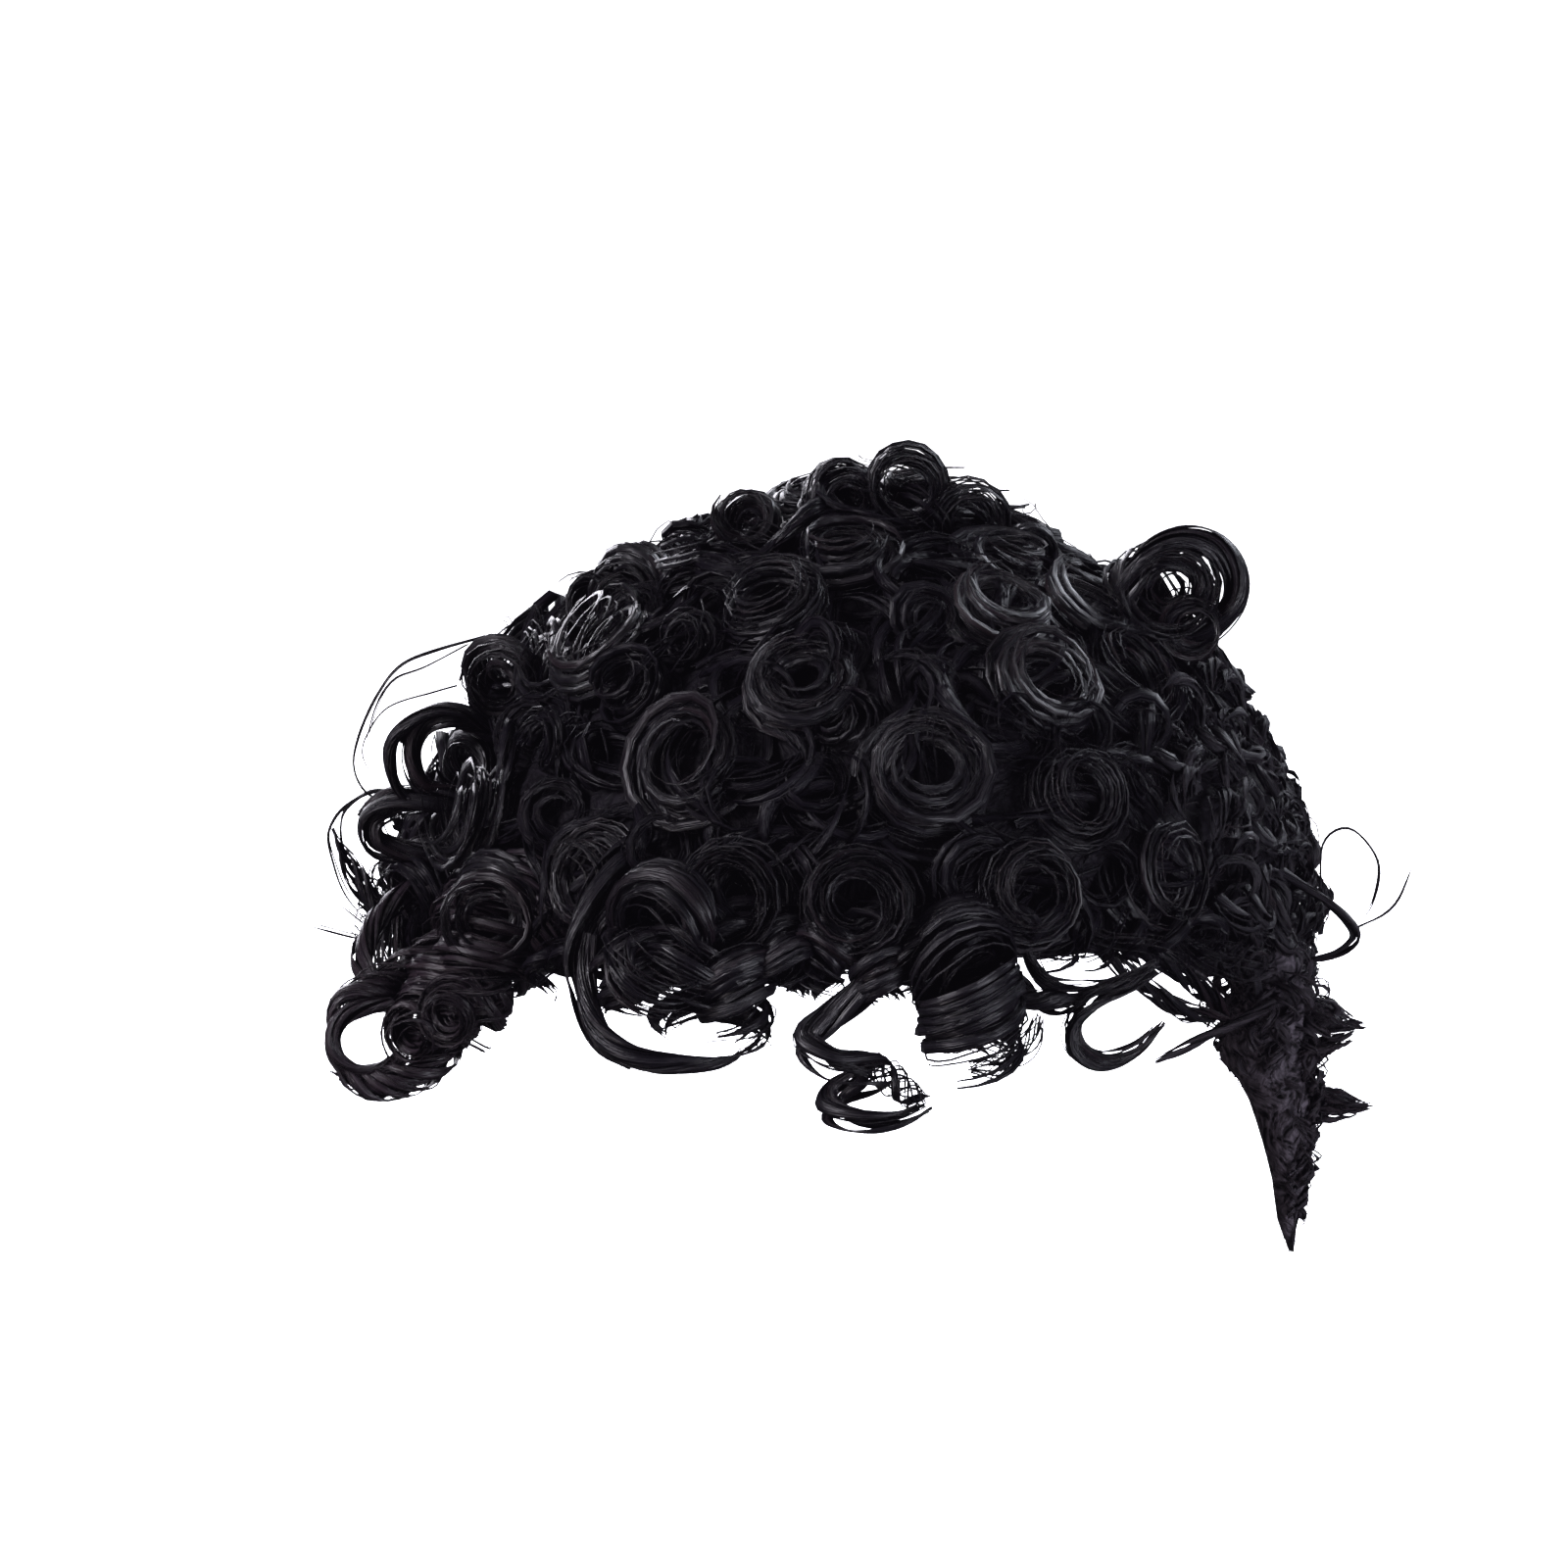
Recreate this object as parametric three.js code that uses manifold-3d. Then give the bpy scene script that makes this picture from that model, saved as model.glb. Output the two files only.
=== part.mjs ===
// Short curly wig: a net cap with fields of ringlets, a close-cropped side and a sideburn.
// Millimetres, +Z up. The origin is the point inside the cap that rests on the top of the head.
// The wearer looks along -Y, and +X is the wearer's left.
import * as THREE from "three";
import { mergeVertices } from "three/addons/utils/BufferGeometryUtils.js";
import Module from "manifold-3d";

const wasm = await Module();
wasm.setup();

// Driving dimensions
const head = {
  halfWidth: 76,
  halfLength: 96,
  crownHeight: 92,
  fullness: 2.3,
  sideDropPerDegree: 1.6,
  neckTaper: 0.09,
  neckSpan: 32,
};
const cap = { wall: 1.6, columns: 32, rows: 6 };
const clearance = 0.4;
const fineness = 0.06;
const mat = { rimThinning: 0.4, thinsFrom: 0.55, insideRim: 1.2, underCap: 1 };
const band = {
  widthShare: 0.38,
  thicknessShare: 0.2,
  stepsPerTurn: 7,
  sunk: 4,
  rootShare: 0.6,
  openBy: 0.35,
  closeFrom: 0.65,
  tipShare: 0.65,
  tipWidth: 0.5,
};
const ringlet = {
  turns: 1.5,
  longTurns: 2.1,
  longFrom: 24,
  straightShare: 0.55,
  fall: 0.05,
  fallPerDegree: 0.0033,
};
const lock = { shoulder: 14, forward: 0.7 };
const phaseStep = 2.4;

// The cap's rim: how far round from the forehead, and how far down from the crown, in degrees
const rimLine = [
  { round: 0, down: 69 },
  { round: 40, down: 71 },
  { round: 66, down: 79 },
  { round: 95, down: 86 },
  { round: 130, down: 88 },
  { round: 180, down: 90 },
];

// How far the curls reach out of the scalp at each level, towards the front, the sides and the back
const reachLine = [
  { down: 0, front: 38, right: 38, back: 38, left: 38 },
  { down: 17, front: 32, right: 31, back: 30, left: 24 },
  { down: 36, front: 32, right: 32, back: 30, left: 22 },
  { down: 56, front: 31, right: 38, back: 29, left: 22 },
  { down: 76, front: 27, right: 43, back: 27, left: 22 },
  { down: 100, front: 25, right: 38, back: 22, left: 19 },
];

// Fields of hair: the patch of scalp that each one covers, in degrees, the grid of its root mat,
// and the share of the curls' reach that the mat fills
const fields = {
  crown_curls: { from: -180, to: 180, top: 0, bottom: 46, rows: 4, columns: 20, fill: 0.68 },
  fringe_curls: { from: -48, to: 48, top: 46, bottom: "rim", rows: 4, columns: 8, fill: 0.68 },
  right_side_curls: { from: -128, to: -48, top: 46, bottom: "rim", rows: 5, columns: 7, fill: 0.68 },
  left_crop: { from: 48, to: 128, top: 46, bottom: "rim", rows: 5, columns: 8, fill: 0.74 },
  back_curls: { from: 128, to: 232, top: 46, bottom: 76, rows: 3, columns: 8, fill: 0.68 },
  nape_curls: { from: 128, to: 232, top: 76, bottom: "rim", rows: 2, columns: 8, fill: 0.68 },
};

// Ringlets of each field: level of the roots, width of the curl, places round the head, extra reach
const ringletRows = [
  { field: "crown_curls", down: 3, curl: 24, rounds: [112], extra: 0 },
  { field: "crown_curls", down: 9, curl: 20, rounds: [-118], extra: 0 },
  { field: "crown_curls", down: 17, curl: 22, rounds: [-84, -14, 46, 130, 180], extra: 0 },
  { field: "crown_curls", down: 27, curl: 24, rounds: [-122, -42, 8, 58], extra: 0 },
  { field: "crown_curls", down: 39, curl: 26, rounds: [-152, -92, -62, -16, 28, 52, 158], extra: 0 },
  { field: "fringe_curls", down: 50, curl: 28, rounds: [-36, 5], extra: 0 },
  { field: "fringe_curls", down: 54, curl: 23, rounds: [28], extra: 0 },
  { field: "fringe_curls", down: 64, curl: 24, rounds: [-40, -20, 0, 18, 40], extra: 0 },
  { field: "right_side_curls", down: 52, curl: 25, rounds: [-112], extra: 0 },
  { field: "right_side_curls", down: 63, curl: 25, rounds: [-66], extra: 0 },
  { field: "right_side_curls", down: 71, curl: 27, rounds: [-118], extra: 0 },
  { field: "right_side_curls", down: 80, curl: 25, rounds: [-110, -86], extra: -4 },
  { field: "left_crop", down: 54, curl: 14, rounds: [62, 86, 110], extra: 0 },
  { field: "left_crop", down: 67, curl: 13, rounds: [66, 90, 112], extra: 0 },
  { field: "left_crop", down: 79, curl: 13, rounds: [96, 118], extra: 0 },
  { field: "back_curls", down: 55, curl: 26, rounds: [143, 168, 193, 218], extra: 0 },
  { field: "back_curls", down: 69, curl: 26, rounds: [136, 158, 180, 202, 224], extra: 0 },
  { field: "nape_curls", down: 83, curl: 23, rounds: [140, 160, 180, 200, 220], extra: -2 },
];

// Locks that hang free: root on the scalp in degrees, tip in millimetres, width of the curl and turns
const hangingLocks = [
  { field: "crown_curls", down: 34, round: 78, tip: [62, -26, 11], curl: 33, turns: 1.8 },
  { field: "fringe_curls", down: 66, round: -31, tip: [-47, -108, -75], curl: 34, turns: 2.2 },
  { field: "fringe_curls", down: 65, round: -8, tip: [-3, -116, -86], curl: 27, turns: 2.8 },
  { field: "fringe_curls", down: 66, round: 10, tip: [18, -113, -71], curl: 23, turns: 2 },
  { field: "fringe_curls", down: 67, round: 28, tip: [46, -104, -72], curl: 20, turns: 1.8 },
  { field: "right_side_curls", down: 55, round: -90, tip: [-99, -32, -28], curl: 25, turns: 2 },
  { field: "right_side_curls", down: 66, round: -92, tip: [-103, -32, -47], curl: 26, turns: 2 },
];
const templeLocks = [
  { field: "right_side_curls", down: 66, round: -64, tip: [-109, -46, -94], curl: 29, turns: 3.4 },
  { field: "right_side_curls", down: 70, round: -60, tip: [-92, -60, -80], curl: 25, turns: 2.6 },
];
const templeRoot = { down: 68, round: -62, overMat: 5, radius: 10 };

// The sideburn: how far below the crown, its middle, and its width across the cheek and out from it
const sideburnSections = [
  { drop: 60, x: 80, y: -38, across: 32, out: 17 },
  { drop: 71, x: 81.5, y: -38, across: 31, out: 23 },
  { drop: 82, x: 82.5, y: -38, across: 27, out: 21 },
  { drop: 93, x: 85, y: -39, across: 20, out: 15 },
  { drop: 104, x: 86, y: -40, across: 14, out: 12 },
  { drop: 114, x: 87, y: -40, across: 9, out: 8.4 },
  { drop: 123, x: 86.8, y: -41, across: 5, out: 4.6 },
  { drop: 129.5, x: 86.6, y: -41, across: 1.2, out: 1.2 },
];
const cheekSlant = 0.35;
const sideburnFlicks = [
  { drop: 81, tipX: 102, tipY: -40, width: 12, length: 13 },
  { drop: 99, tipX: 104, tipY: -42, width: 6.5, length: 16 },
];

const radians = THREE.MathUtils.degToRad;
const down = new THREE.Vector3(0, 0, -1);

// Rim angle at any place round the head, eased between the rows of the rim table
function rimAt(round) {
  const turn = Math.abs(((round + 540) % 360) - 180);
  const next = rimLine.findIndex((row) => row.round >= turn);
  if (next <= 0) return rimLine[0].down;
  const a = rimLine[next - 1];
  const b = rimLine[next];
  const share = THREE.MathUtils.smoothstep(turn, a.round, b.round);
  return THREE.MathUtils.lerp(a.down, b.down, share);
}

// Reach of the curls at any place: read down the table, then blended round the head
function reachAt(angleDown, angleRound) {
  const level = Math.min(angleDown, reachLine.at(-1).down - 0.01);
  const next = reachLine.findIndex((row) => row.down > level);
  const a = reachLine[next - 1];
  const b = reachLine[next];
  const share = (level - a.down) / (b.down - a.down);
  const turn = radians(angleRound);
  const [ahead, aside] = [Math.cos(turn), Math.sin(turn)];
  const facing = { front: ahead, back: -ahead, left: aside, right: -aside };
  return Object.entries(facing).reduce((sum, [side, amount]) => {
    const reach = THREE.MathUtils.lerp(a[side], b[side], share);
    return sum + Math.max(amount, 0) ** 2 * reach;
  }, 0);
}

// A point of the scalp: a full, rounded dome down to the ears, then sides that draw in to the neck
function scalp(angleDown, angleRound) {
  const power = 2 / head.fullness;
  const upper = radians(Math.min(angleDown, 90));
  const below = Math.max(angleDown - 90, 0);
  const spread = Math.sin(upper) ** power - head.neckTaper * (below / head.neckSpan) ** 2;
  const drop = head.crownHeight * (1 - Math.cos(upper) ** power) + head.sideDropPerDegree * below;
  const turn = radians(angleRound);
  return new THREE.Vector3(
    head.halfWidth * spread * Math.sin(turn),
    -head.halfLength * spread * Math.cos(turn),
    -drop,
  );
}

function scalpNormal(angleDown, angleRound) {
  const poleLimit = 2;
  const step = 0.5;
  if (angleDown < poleLimit) return new THREE.Vector3(0, 0, 1);
  const along = scalp(angleDown + step, angleRound).sub(scalp(angleDown - step, angleRound));
  const around = scalp(angleDown, angleRound + step).sub(scalp(angleDown, angleRound - step));
  return along.cross(around).normalize();
}

function overScalp(angleDown, angleRound, height) {
  return scalp(angleDown, angleRound).addScaledVector(scalpNormal(angleDown, angleRound), height);
}

// A closed solid from points and triangles, turned so that its faces point out
function solidFrom(points, triangles) {
  const raw = new THREE.BufferGeometry().setFromPoints(points).setIndex(triangles);
  const merged = mergeVertices(raw, 1e-4);
  const kept = [];
  for (let i = 0; i < merged.index.count; i += 3) {
    const [a, b, c] = merged.index.array.slice(i, i + 3);
    if (a !== b && b !== c && a !== c) kept.push([a, b, c]);
  }
  const place = merged.attributes.position;
  const corner = (i) => new THREE.Vector3().fromBufferAttribute(place, i);
  const volume = kept.reduce((sum, [a, b, c]) => sum + corner(a).dot(corner(b).cross(corner(c))), 0);
  const facing = volume < 0 ? kept.map(([a, b, c]) => [a, c, b]) : kept;
  return new wasm.Manifold(
    new wasm.Mesh({
      numProp: 3,
      vertProperties: new Float32Array(place.array),
      triVerts: new Uint32Array(facing.flat()),
    }),
  );
}

function solidFromGeometry(shape) {
  const place = shape.attributes.position;
  const corner = (_, i) => new THREE.Vector3().fromBufferAttribute(place, i);
  return solidFrom(Array.from({ length: place.count }, corner), Array.from(shape.index.array));
}

// A skin between two walls over a patch of the scalp: a full turn starts at the crown and has no side edges
function patchSolid({ rows, columns, wholeTurn, place }) {
  const points = [];
  const triangles = [];
  const at = (wall, row, column) => (wall * (rows + 1) + row) * (columns + 1) + column;
  const quad = (a, b, c, d) => triangles.push(a, b, c, a, c, d);
  for (const wall of [0, 1])
    for (let row = 0; row <= rows; row++)
      for (let column = 0; column <= columns; column++)
        points.push(place(wall, row / rows, column / columns));
  for (let row = 0; row < rows; row++)
    for (let column = 0; column < columns; column++) {
      quad(at(1, row, column), at(1, row + 1, column), at(1, row + 1, column + 1), at(1, row, column + 1));
      quad(at(0, row, column), at(0, row, column + 1), at(0, row + 1, column + 1), at(0, row + 1, column));
    }
  for (let column = 0; column < columns; column++) {
    quad(at(0, rows, column), at(0, rows, column + 1), at(1, rows, column + 1), at(1, rows, column));
    if (!wholeTurn) quad(at(0, 0, column), at(1, 0, column), at(1, 0, column + 1), at(0, 0, column + 1));
  }
  if (!wholeTurn)
    for (let row = 0; row < rows; row++) {
      quad(at(0, row, 0), at(0, row + 1, 0), at(1, row + 1, 0), at(1, row, 0));
      quad(at(0, row, columns), at(1, row, columns), at(1, row + 1, columns), at(0, row + 1, columns));
    }
  return solidFrom(points, triangles);
}

// The cap between two heights over the scalp; letDown adds a last row so many degrees past the rim
function capSolid(inner, outer, letDown = 0) {
  const rows = cap.rows + (letDown ? 1 : 0);
  const place = (wall, share, around) => {
    const round = around * 360;
    const row = share * rows;
    const past = row > cap.rows + 0.5 ? letDown : 0;
    const angleDown = rimAt(round) * Math.min(row / cap.rows, 1) + past;
    return overScalp(angleDown, round, wall ? outer : inner);
  };
  return patchSolid({ rows, columns: cap.columns, wholeTurn: true, place });
}

// A root mat fills the lower part of the curls and thins to the cap's rim
function matHeight(name, angleDown, angleRound) {
  const { top, bottom, fill } = fields[name];
  const share = (angleDown - top) / (rimAt(angleRound) - top);
  const thinning = bottom === "rim" ? THREE.MathUtils.smoothstep(share, mat.thinsFrom, 1) : 0;
  return reachAt(angleDown, angleRound) * fill * (1 - mat.rimThinning * thinning);
}

// The root mat of a field; grow widens it on every side, to cut its neighbours clear of it
function matSolid(name, grow = 0) {
  const field = fields[name];
  const wholeTurn = field.to - field.from === 360;
  const edge = grow * (180 / Math.PI / head.halfWidth);
  const narrowing = Math.sin(radians(field.top));
  const sides = wholeTurn ? 0 : edge / narrowing;
  const place = (wall, share, around) => {
    const round = THREE.MathUtils.lerp(field.from - sides, field.to + sides, around);
    const bottom = field.bottom === "rim" ? rimAt(round) - mat.insideRim : field.bottom;
    const top = wholeTurn ? 0 : field.top - edge;
    const depth = THREE.MathUtils.lerp(top, bottom + edge, share);
    const height = wall ? matHeight(name, depth, round) + grow : -mat.underCap;
    return overScalp(depth, round, height);
  };
  return patchSolid({ ...field, wholeTurn, place });
}

// A curl: a flat band of hair that winds round an axis, narrow at its root and closing at its tip
function curlSolid({ axis, curl, turns, hand, phase }, grow = 0) {
  const steps = Math.round(turns * band.stepsPerTurn);
  const frames = axis.computeFrenetFrames(steps);
  const thickness = curl * band.thicknessShare;
  const coil = (curl - thickness) / 2;
  const points = [];
  const triangles = [];
  const corners = [[-1, -1], [1, -1], [1, 1], [-1, 1]];
  for (let i = 0; i <= steps; i++) {
    const t = i / steps;
    const nearTip = THREE.MathUtils.smoothstep(t, band.closeFrom, 1);
    const opening = THREE.MathUtils.lerp(band.rootShare, 1, THREE.MathUtils.smoothstep(t, 0, band.openBy));
    const closing = THREE.MathUtils.lerp(1, band.tipShare, nearTip);
    const width = opening * THREE.MathUtils.lerp(1, band.tipWidth, nearTip);
    const angle = phase + hand * turns * 2 * Math.PI * t;
    const outward = frames.normals[i].clone().multiplyScalar(Math.cos(angle));
    outward.addScaledVector(frames.binormals[i], Math.sin(angle));
    const middle = axis.getPointAt(t).addScaledVector(outward, coil * opening * closing);
    for (const [alongSide, outSide] of corners)
      points.push(
        middle
          .clone()
          .addScaledVector(frames.tangents[i], alongSide * ((curl * band.widthShare * width) / 2 + grow))
          .addScaledVector(outward, outSide * ((thickness * width) / 2 + grow)),
      );
  }
  const ring = corners.length;
  for (let i = 0; i < steps; i++)
    for (let k = 0; k < ring; k++) {
      const a = i * ring + k;
      const b = i * ring + ((k + 1) % ring);
      triangles.push(a, b, b + ring, a, b + ring, a + ring);
    }
  const last = steps * ring;
  triangles.push(0, 2, 1, 0, 3, 2, last, last + 1, last + 2, last, last + 2, last + 3);
  return solidFrom(points, triangles);
}

// Ringlets stand out of the mat along the scalp's normal and fall a little at the tip
function ringletsOf(name) {
  const made = [];
  for (const row of ringletRows.filter((each) => each.field === name))
    for (const round of row.rounds) {
      const reach = reachAt(row.down, round) + row.extra;
      const sunk = matHeight(name, row.down, round) - band.sunk;
      const normal = scalpNormal(row.down, round);
      const start = overScalp(row.down, round, sunk);
      const length = reach - sunk - (row.curl * band.widthShare) / 4;
      const bend = start.clone().addScaledVector(normal, length * ringlet.straightShare);
      const heading = normal.clone().lerp(down, ringlet.fall + ringlet.fallPerDegree * row.down).normalize();
      const tip = bend.clone().addScaledVector(heading, length * (1 - ringlet.straightShare));
      const axis = new THREE.QuadraticBezierCurve3(start, bend, tip);
      const turns = length > ringlet.longFrom ? ringlet.longTurns : ringlet.turns;
      const hand = made.length % 2 ? 1 : -1;
      made.push({ axis, curl: row.curl, turns, hand, phase: made.length * phaseStep });
    }
  return made;
}

// A hanging lock leaves the mat, turns down and ends at its tip
function hangingCurl({ field, down: angleDown, round, tip, curl, turns }, index) {
  const sunk = matHeight(field, angleDown, round) - band.sunk;
  const start = overScalp(angleDown, round, sunk);
  const shoulder = start.clone().addScaledVector(scalpNormal(angleDown, round), lock.shoulder);
  const end = new THREE.Vector3(...tip);
  const bend = shoulder.clone().lerp(new THREE.Vector3(end.x, end.y, shoulder.z), lock.forward);
  const axis = new THREE.QuadraticBezierCurve3(start, bend, end);
  return { axis, curl, turns, hand: index % 2 ? 1 : -1, phase: index * phaseStep };
}

// The two temple curls leave one gathered root
function templeRootSolid(grow = 0) {
  const { down: angleDown, round, overMat, radius } = templeRoot;
  const height = matHeight("right_side_curls", angleDown, round) + overMat;
  const middle = overScalp(angleDown, round, height);
  return solidFromGeometry(new THREE.SphereGeometry(radius + grow, 8, 6).translate(...middle));
}

function curlsOf(name) {
  const hanging = hangingLocks.filter((lock) => lock.field === name);
  return [...ringletsOf(name), ...hanging.map(hangingCurl)];
}

function fuse(solids) {
  return solids.reduce((sum, solid) => sum.add(solid));
}

function largestBody(solid) {
  return solid.decompose().reduce((best, body) => (body.volume() > best.volume() ? body : best));
}

// The sideburn: rounded sections one below another, and flicks that stand out of it
function sideburnSolid(grow = 0) {
  const sides = 8;
  const points = [];
  const triangles = [];
  sideburnSections.forEach(({ drop, x, y, across, out }) => {
    for (let k = 0; k < sides; k++) {
      const turn = (k / sides) * 2 * Math.PI;
      const alongCheek = Math.cos(turn) * (across / 2 + grow);
      const fromCheek = Math.sin(turn) * (out / 2 + grow);
      points.push(new THREE.Vector3(x + fromCheek - alongCheek * cheekSlant, y + alongCheek, -drop));
    }
  });
  const rows = sideburnSections.length;
  for (let i = 0; i < rows - 1; i++)
    for (let k = 0; k < sides; k++) {
      const a = i * sides + k;
      const b = i * sides + ((k + 1) % sides);
      triangles.push(a, b, b + sides, a, b + sides, a + sides);
    }
  const last = (rows - 1) * sides;
  for (let k = 1; k < sides - 1; k++) triangles.push(0, k + 1, k, last, last + k, last + k + 1);
  return solidFrom(points, triangles);
}

function flickSolid({ drop, tipX, tipY, width, length }, grow = 0) {
  const sides = 6;
  const shape = new THREE.ConeGeometry(width / 2 + grow, length + grow, sides);
  shape.rotateZ(-Math.PI / 2);
  shape.translate(tipX + grow - length / 2, tipY, -drop);
  return solidFromGeometry(shape);
}

// Looks
const hairMaterial = new THREE.MeshStandardMaterial({ color: 0x100e10, roughness: 0.42, metalness: 0 });
const netMaterial = new THREE.MeshStandardMaterial({ color: 0x17161a, roughness: 0.85, metalness: 0 });

function meshOf(name, solid, material) {
  const { vertProperties, triVerts } = solid.getMesh();
  const geometry = new THREE.BufferGeometry()
    .setAttribute("position", new THREE.BufferAttribute(vertProperties, 3))
    .setIndex(new THREE.BufferAttribute(triVerts, 1));
  geometry.computeVertexNormals();
  const mesh = new THREE.Mesh(geometry, material);
  mesh.name = name;
  return mesh;
}

// Assembly: each piece is cut clear of those made before it
const wig = new THREE.Group();
const headRoom = { depth: 8, pastRim: 2 };
const keepOut = [capSolid(-headRoom.depth, cap.wall + clearance, headRoom.pastRim)];

function addHair(name, makers) {
  const body = fuse(makers.map((make) => make(0)));
  const cut = keepOut.reduce((solid, other) => solid.subtract(other), body);
  wig.add(meshOf(name, largestBody(cut.asOriginal().simplify(fineness)), hairMaterial));
  keepOut.push(fuse(makers.map((make) => make(clearance))));
}

const curlMakers = (curls) => curls.map((curl) => (grow) => curlSolid(curl, grow));
const flickMakers = sideburnFlicks.map((flick) => (grow) => flickSolid(flick, grow));

wig.add(meshOf("cap", capSolid(0, cap.wall), netMaterial));
for (const name of Object.keys(fields))
  addHair(name, [(grow) => matSolid(name, grow), ...curlMakers(curlsOf(name))]);
addHair("temple_lock", [templeRootSolid, ...curlMakers(templeLocks.map(hangingCurl))]);
addHair("left_sideburn", [sideburnSolid, ...flickMakers]);

export default wig;
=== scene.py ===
import math
import random
from collections import defaultdict

import bpy
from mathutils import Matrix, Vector, noise


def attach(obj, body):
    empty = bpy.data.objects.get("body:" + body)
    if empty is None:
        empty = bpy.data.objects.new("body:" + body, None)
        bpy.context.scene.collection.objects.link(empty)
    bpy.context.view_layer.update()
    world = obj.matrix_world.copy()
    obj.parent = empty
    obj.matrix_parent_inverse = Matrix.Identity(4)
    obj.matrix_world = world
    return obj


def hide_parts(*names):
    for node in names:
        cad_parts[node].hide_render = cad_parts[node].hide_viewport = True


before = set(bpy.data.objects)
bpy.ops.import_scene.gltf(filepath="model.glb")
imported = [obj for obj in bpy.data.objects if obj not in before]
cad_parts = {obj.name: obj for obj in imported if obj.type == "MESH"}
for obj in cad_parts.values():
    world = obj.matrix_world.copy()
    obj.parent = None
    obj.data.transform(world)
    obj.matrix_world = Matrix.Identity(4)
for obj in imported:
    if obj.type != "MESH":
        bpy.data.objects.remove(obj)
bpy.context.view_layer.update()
mm = 0.001
down = Vector((0, 0, -1))
fullTurn = 6.2832
anyAngle = 6.28  # random angles are drawn from 0 up to this
print("frame loaded:", len(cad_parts), "nodes")


def linked(name, data):  # an object of that mesh, camera or lamp in the scene
    made = bpy.data.objects.new(name, data)
    bpy.context.collection.objects.link(made)
    return made


# camera at the photo's angle: the origin falls on originPixel of a square image
camera = {"imagePixels": 1600, "mmPerPixel": 0.2107, "originPixel": (905, 630),
          "elevation": 12.0, "distance": 3.0, "sensor": 36.0}


def addCamera(c):
    tilt = math.radians(c["elevation"])
    ahead = Vector((0, math.cos(tilt), -math.sin(tilt)))
    upward = Vector((0, math.sin(tilt), math.cos(tilt)))
    half = c["imagePixels"] / 2
    across, below = c["originPixel"]
    pixel = c["mmPerPixel"] * mm
    aim = Vector((half - across, 0, 0)) * pixel + upward * ((below - half) * pixel)
    data = bpy.data.cameras.new("photoCamera")
    data.sensor_width = c["sensor"]
    data.lens = c["sensor"] * c["distance"] / (c["imagePixels"] * pixel)
    lens = linked("photoCamera", data)
    lens.location = aim - ahead * c["distance"]
    lens.rotation_euler = ahead.to_track_quat("-Z", "Y").to_euler()
    bpy.context.scene.camera = lens


addCamera(camera)
print("camera set")


def setSockets(node, values):
    for name, value in values.items():
        node.inputs[name].default_value = value


class Wire:  # a node socket that can be used in sums
    def __init__(self, tree, socket=None):
        self.tree = tree
        self.socket = socket

    def make(self, kind, inputs=None, out=0, **settings):  # any node: its type, sockets and settings
        node = self.tree.nodes.new(kind)
        for name, value in settings.items():
            setattr(node, name, value)
        for key, value in (inputs or {}).items():
            if isinstance(value, Wire):
                self.tree.links.new(value.socket, node.inputs[key])
            else:
                node.inputs[key].default_value = value
        return Wire(self.tree, node.outputs[out])

    def out(self, key):
        return Wire(self.tree, self.socket.node.outputs[key])

    def into(self, socket):
        self.tree.links.new(self.socket, socket)

    def sum(self, operation, first, second=0.0):
        return self.make("ShaderNodeMath", {0: first, 1: second}, operation=operation)

    def __add__(self, other):
        return self.sum("ADD", self, other)

    def __radd__(self, other):
        return self.sum("ADD", other, self)

    def __sub__(self, other):
        return self.sum("SUBTRACT", self, other)

    def __rsub__(self, other):
        return self.sum("SUBTRACT", other, self)

    def __mul__(self, other):
        return self.sum("MULTIPLY", self, other)


def newMaterial(name):
    material = bpy.data.materials.new(name)
    material.use_nodes = True
    return material, material.node_tree.nodes["Principled BSDF"], Wire(material.node_tree)


# plain pale floor and soft studio light
studio = {"floorBelow": 0.30, "floorSize": 60.0, "floorColour": (0.93, 0.93, 0.935, 1), "floorGlow": 1.0,
          "floorRoughness": 0.9, "worldColour": (0.9, 0.93, 1.0, 1), "worldStrength": 0.1,
          "filmBlack": (-0.0022, -0.0019, -0.0027), "lampAim": (0, 0, -0.04)}
lamps = [  # name, place in metres, size, watts, colour
    ("keyLeft", (-1.2, -0.62, 0.85), 0.5, 124.0, (0.95, 0.91, 1.0)),
    ("topSoft", (0.0, -0.1, 1.3), 0.7, 10.0, (0.95, 0.91, 1.0)),
    ("fillRight", (1.1, -0.9, 0.15), 0.5, 43.0, (0.88, 0.89, 1.0)),
    ("lowRight", (0.6, -0.75, -0.2), 0.3, 22.0, (0.9, 0.89, 1.0)),
    ("lowLeft", (-0.8, -0.7, -0.2), 0.3, 14.0, (1.0, 0.9, 0.97)),
    ("rimBack", (0.8, 0.9, 0.6), 0.6, 30.0, (0.86, 0.89, 1.0)),
    ("backSoft", (-0.5, 1.2, 0.2), 0.6, 22.0, (0.93, 0.91, 1.0)),
]


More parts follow.
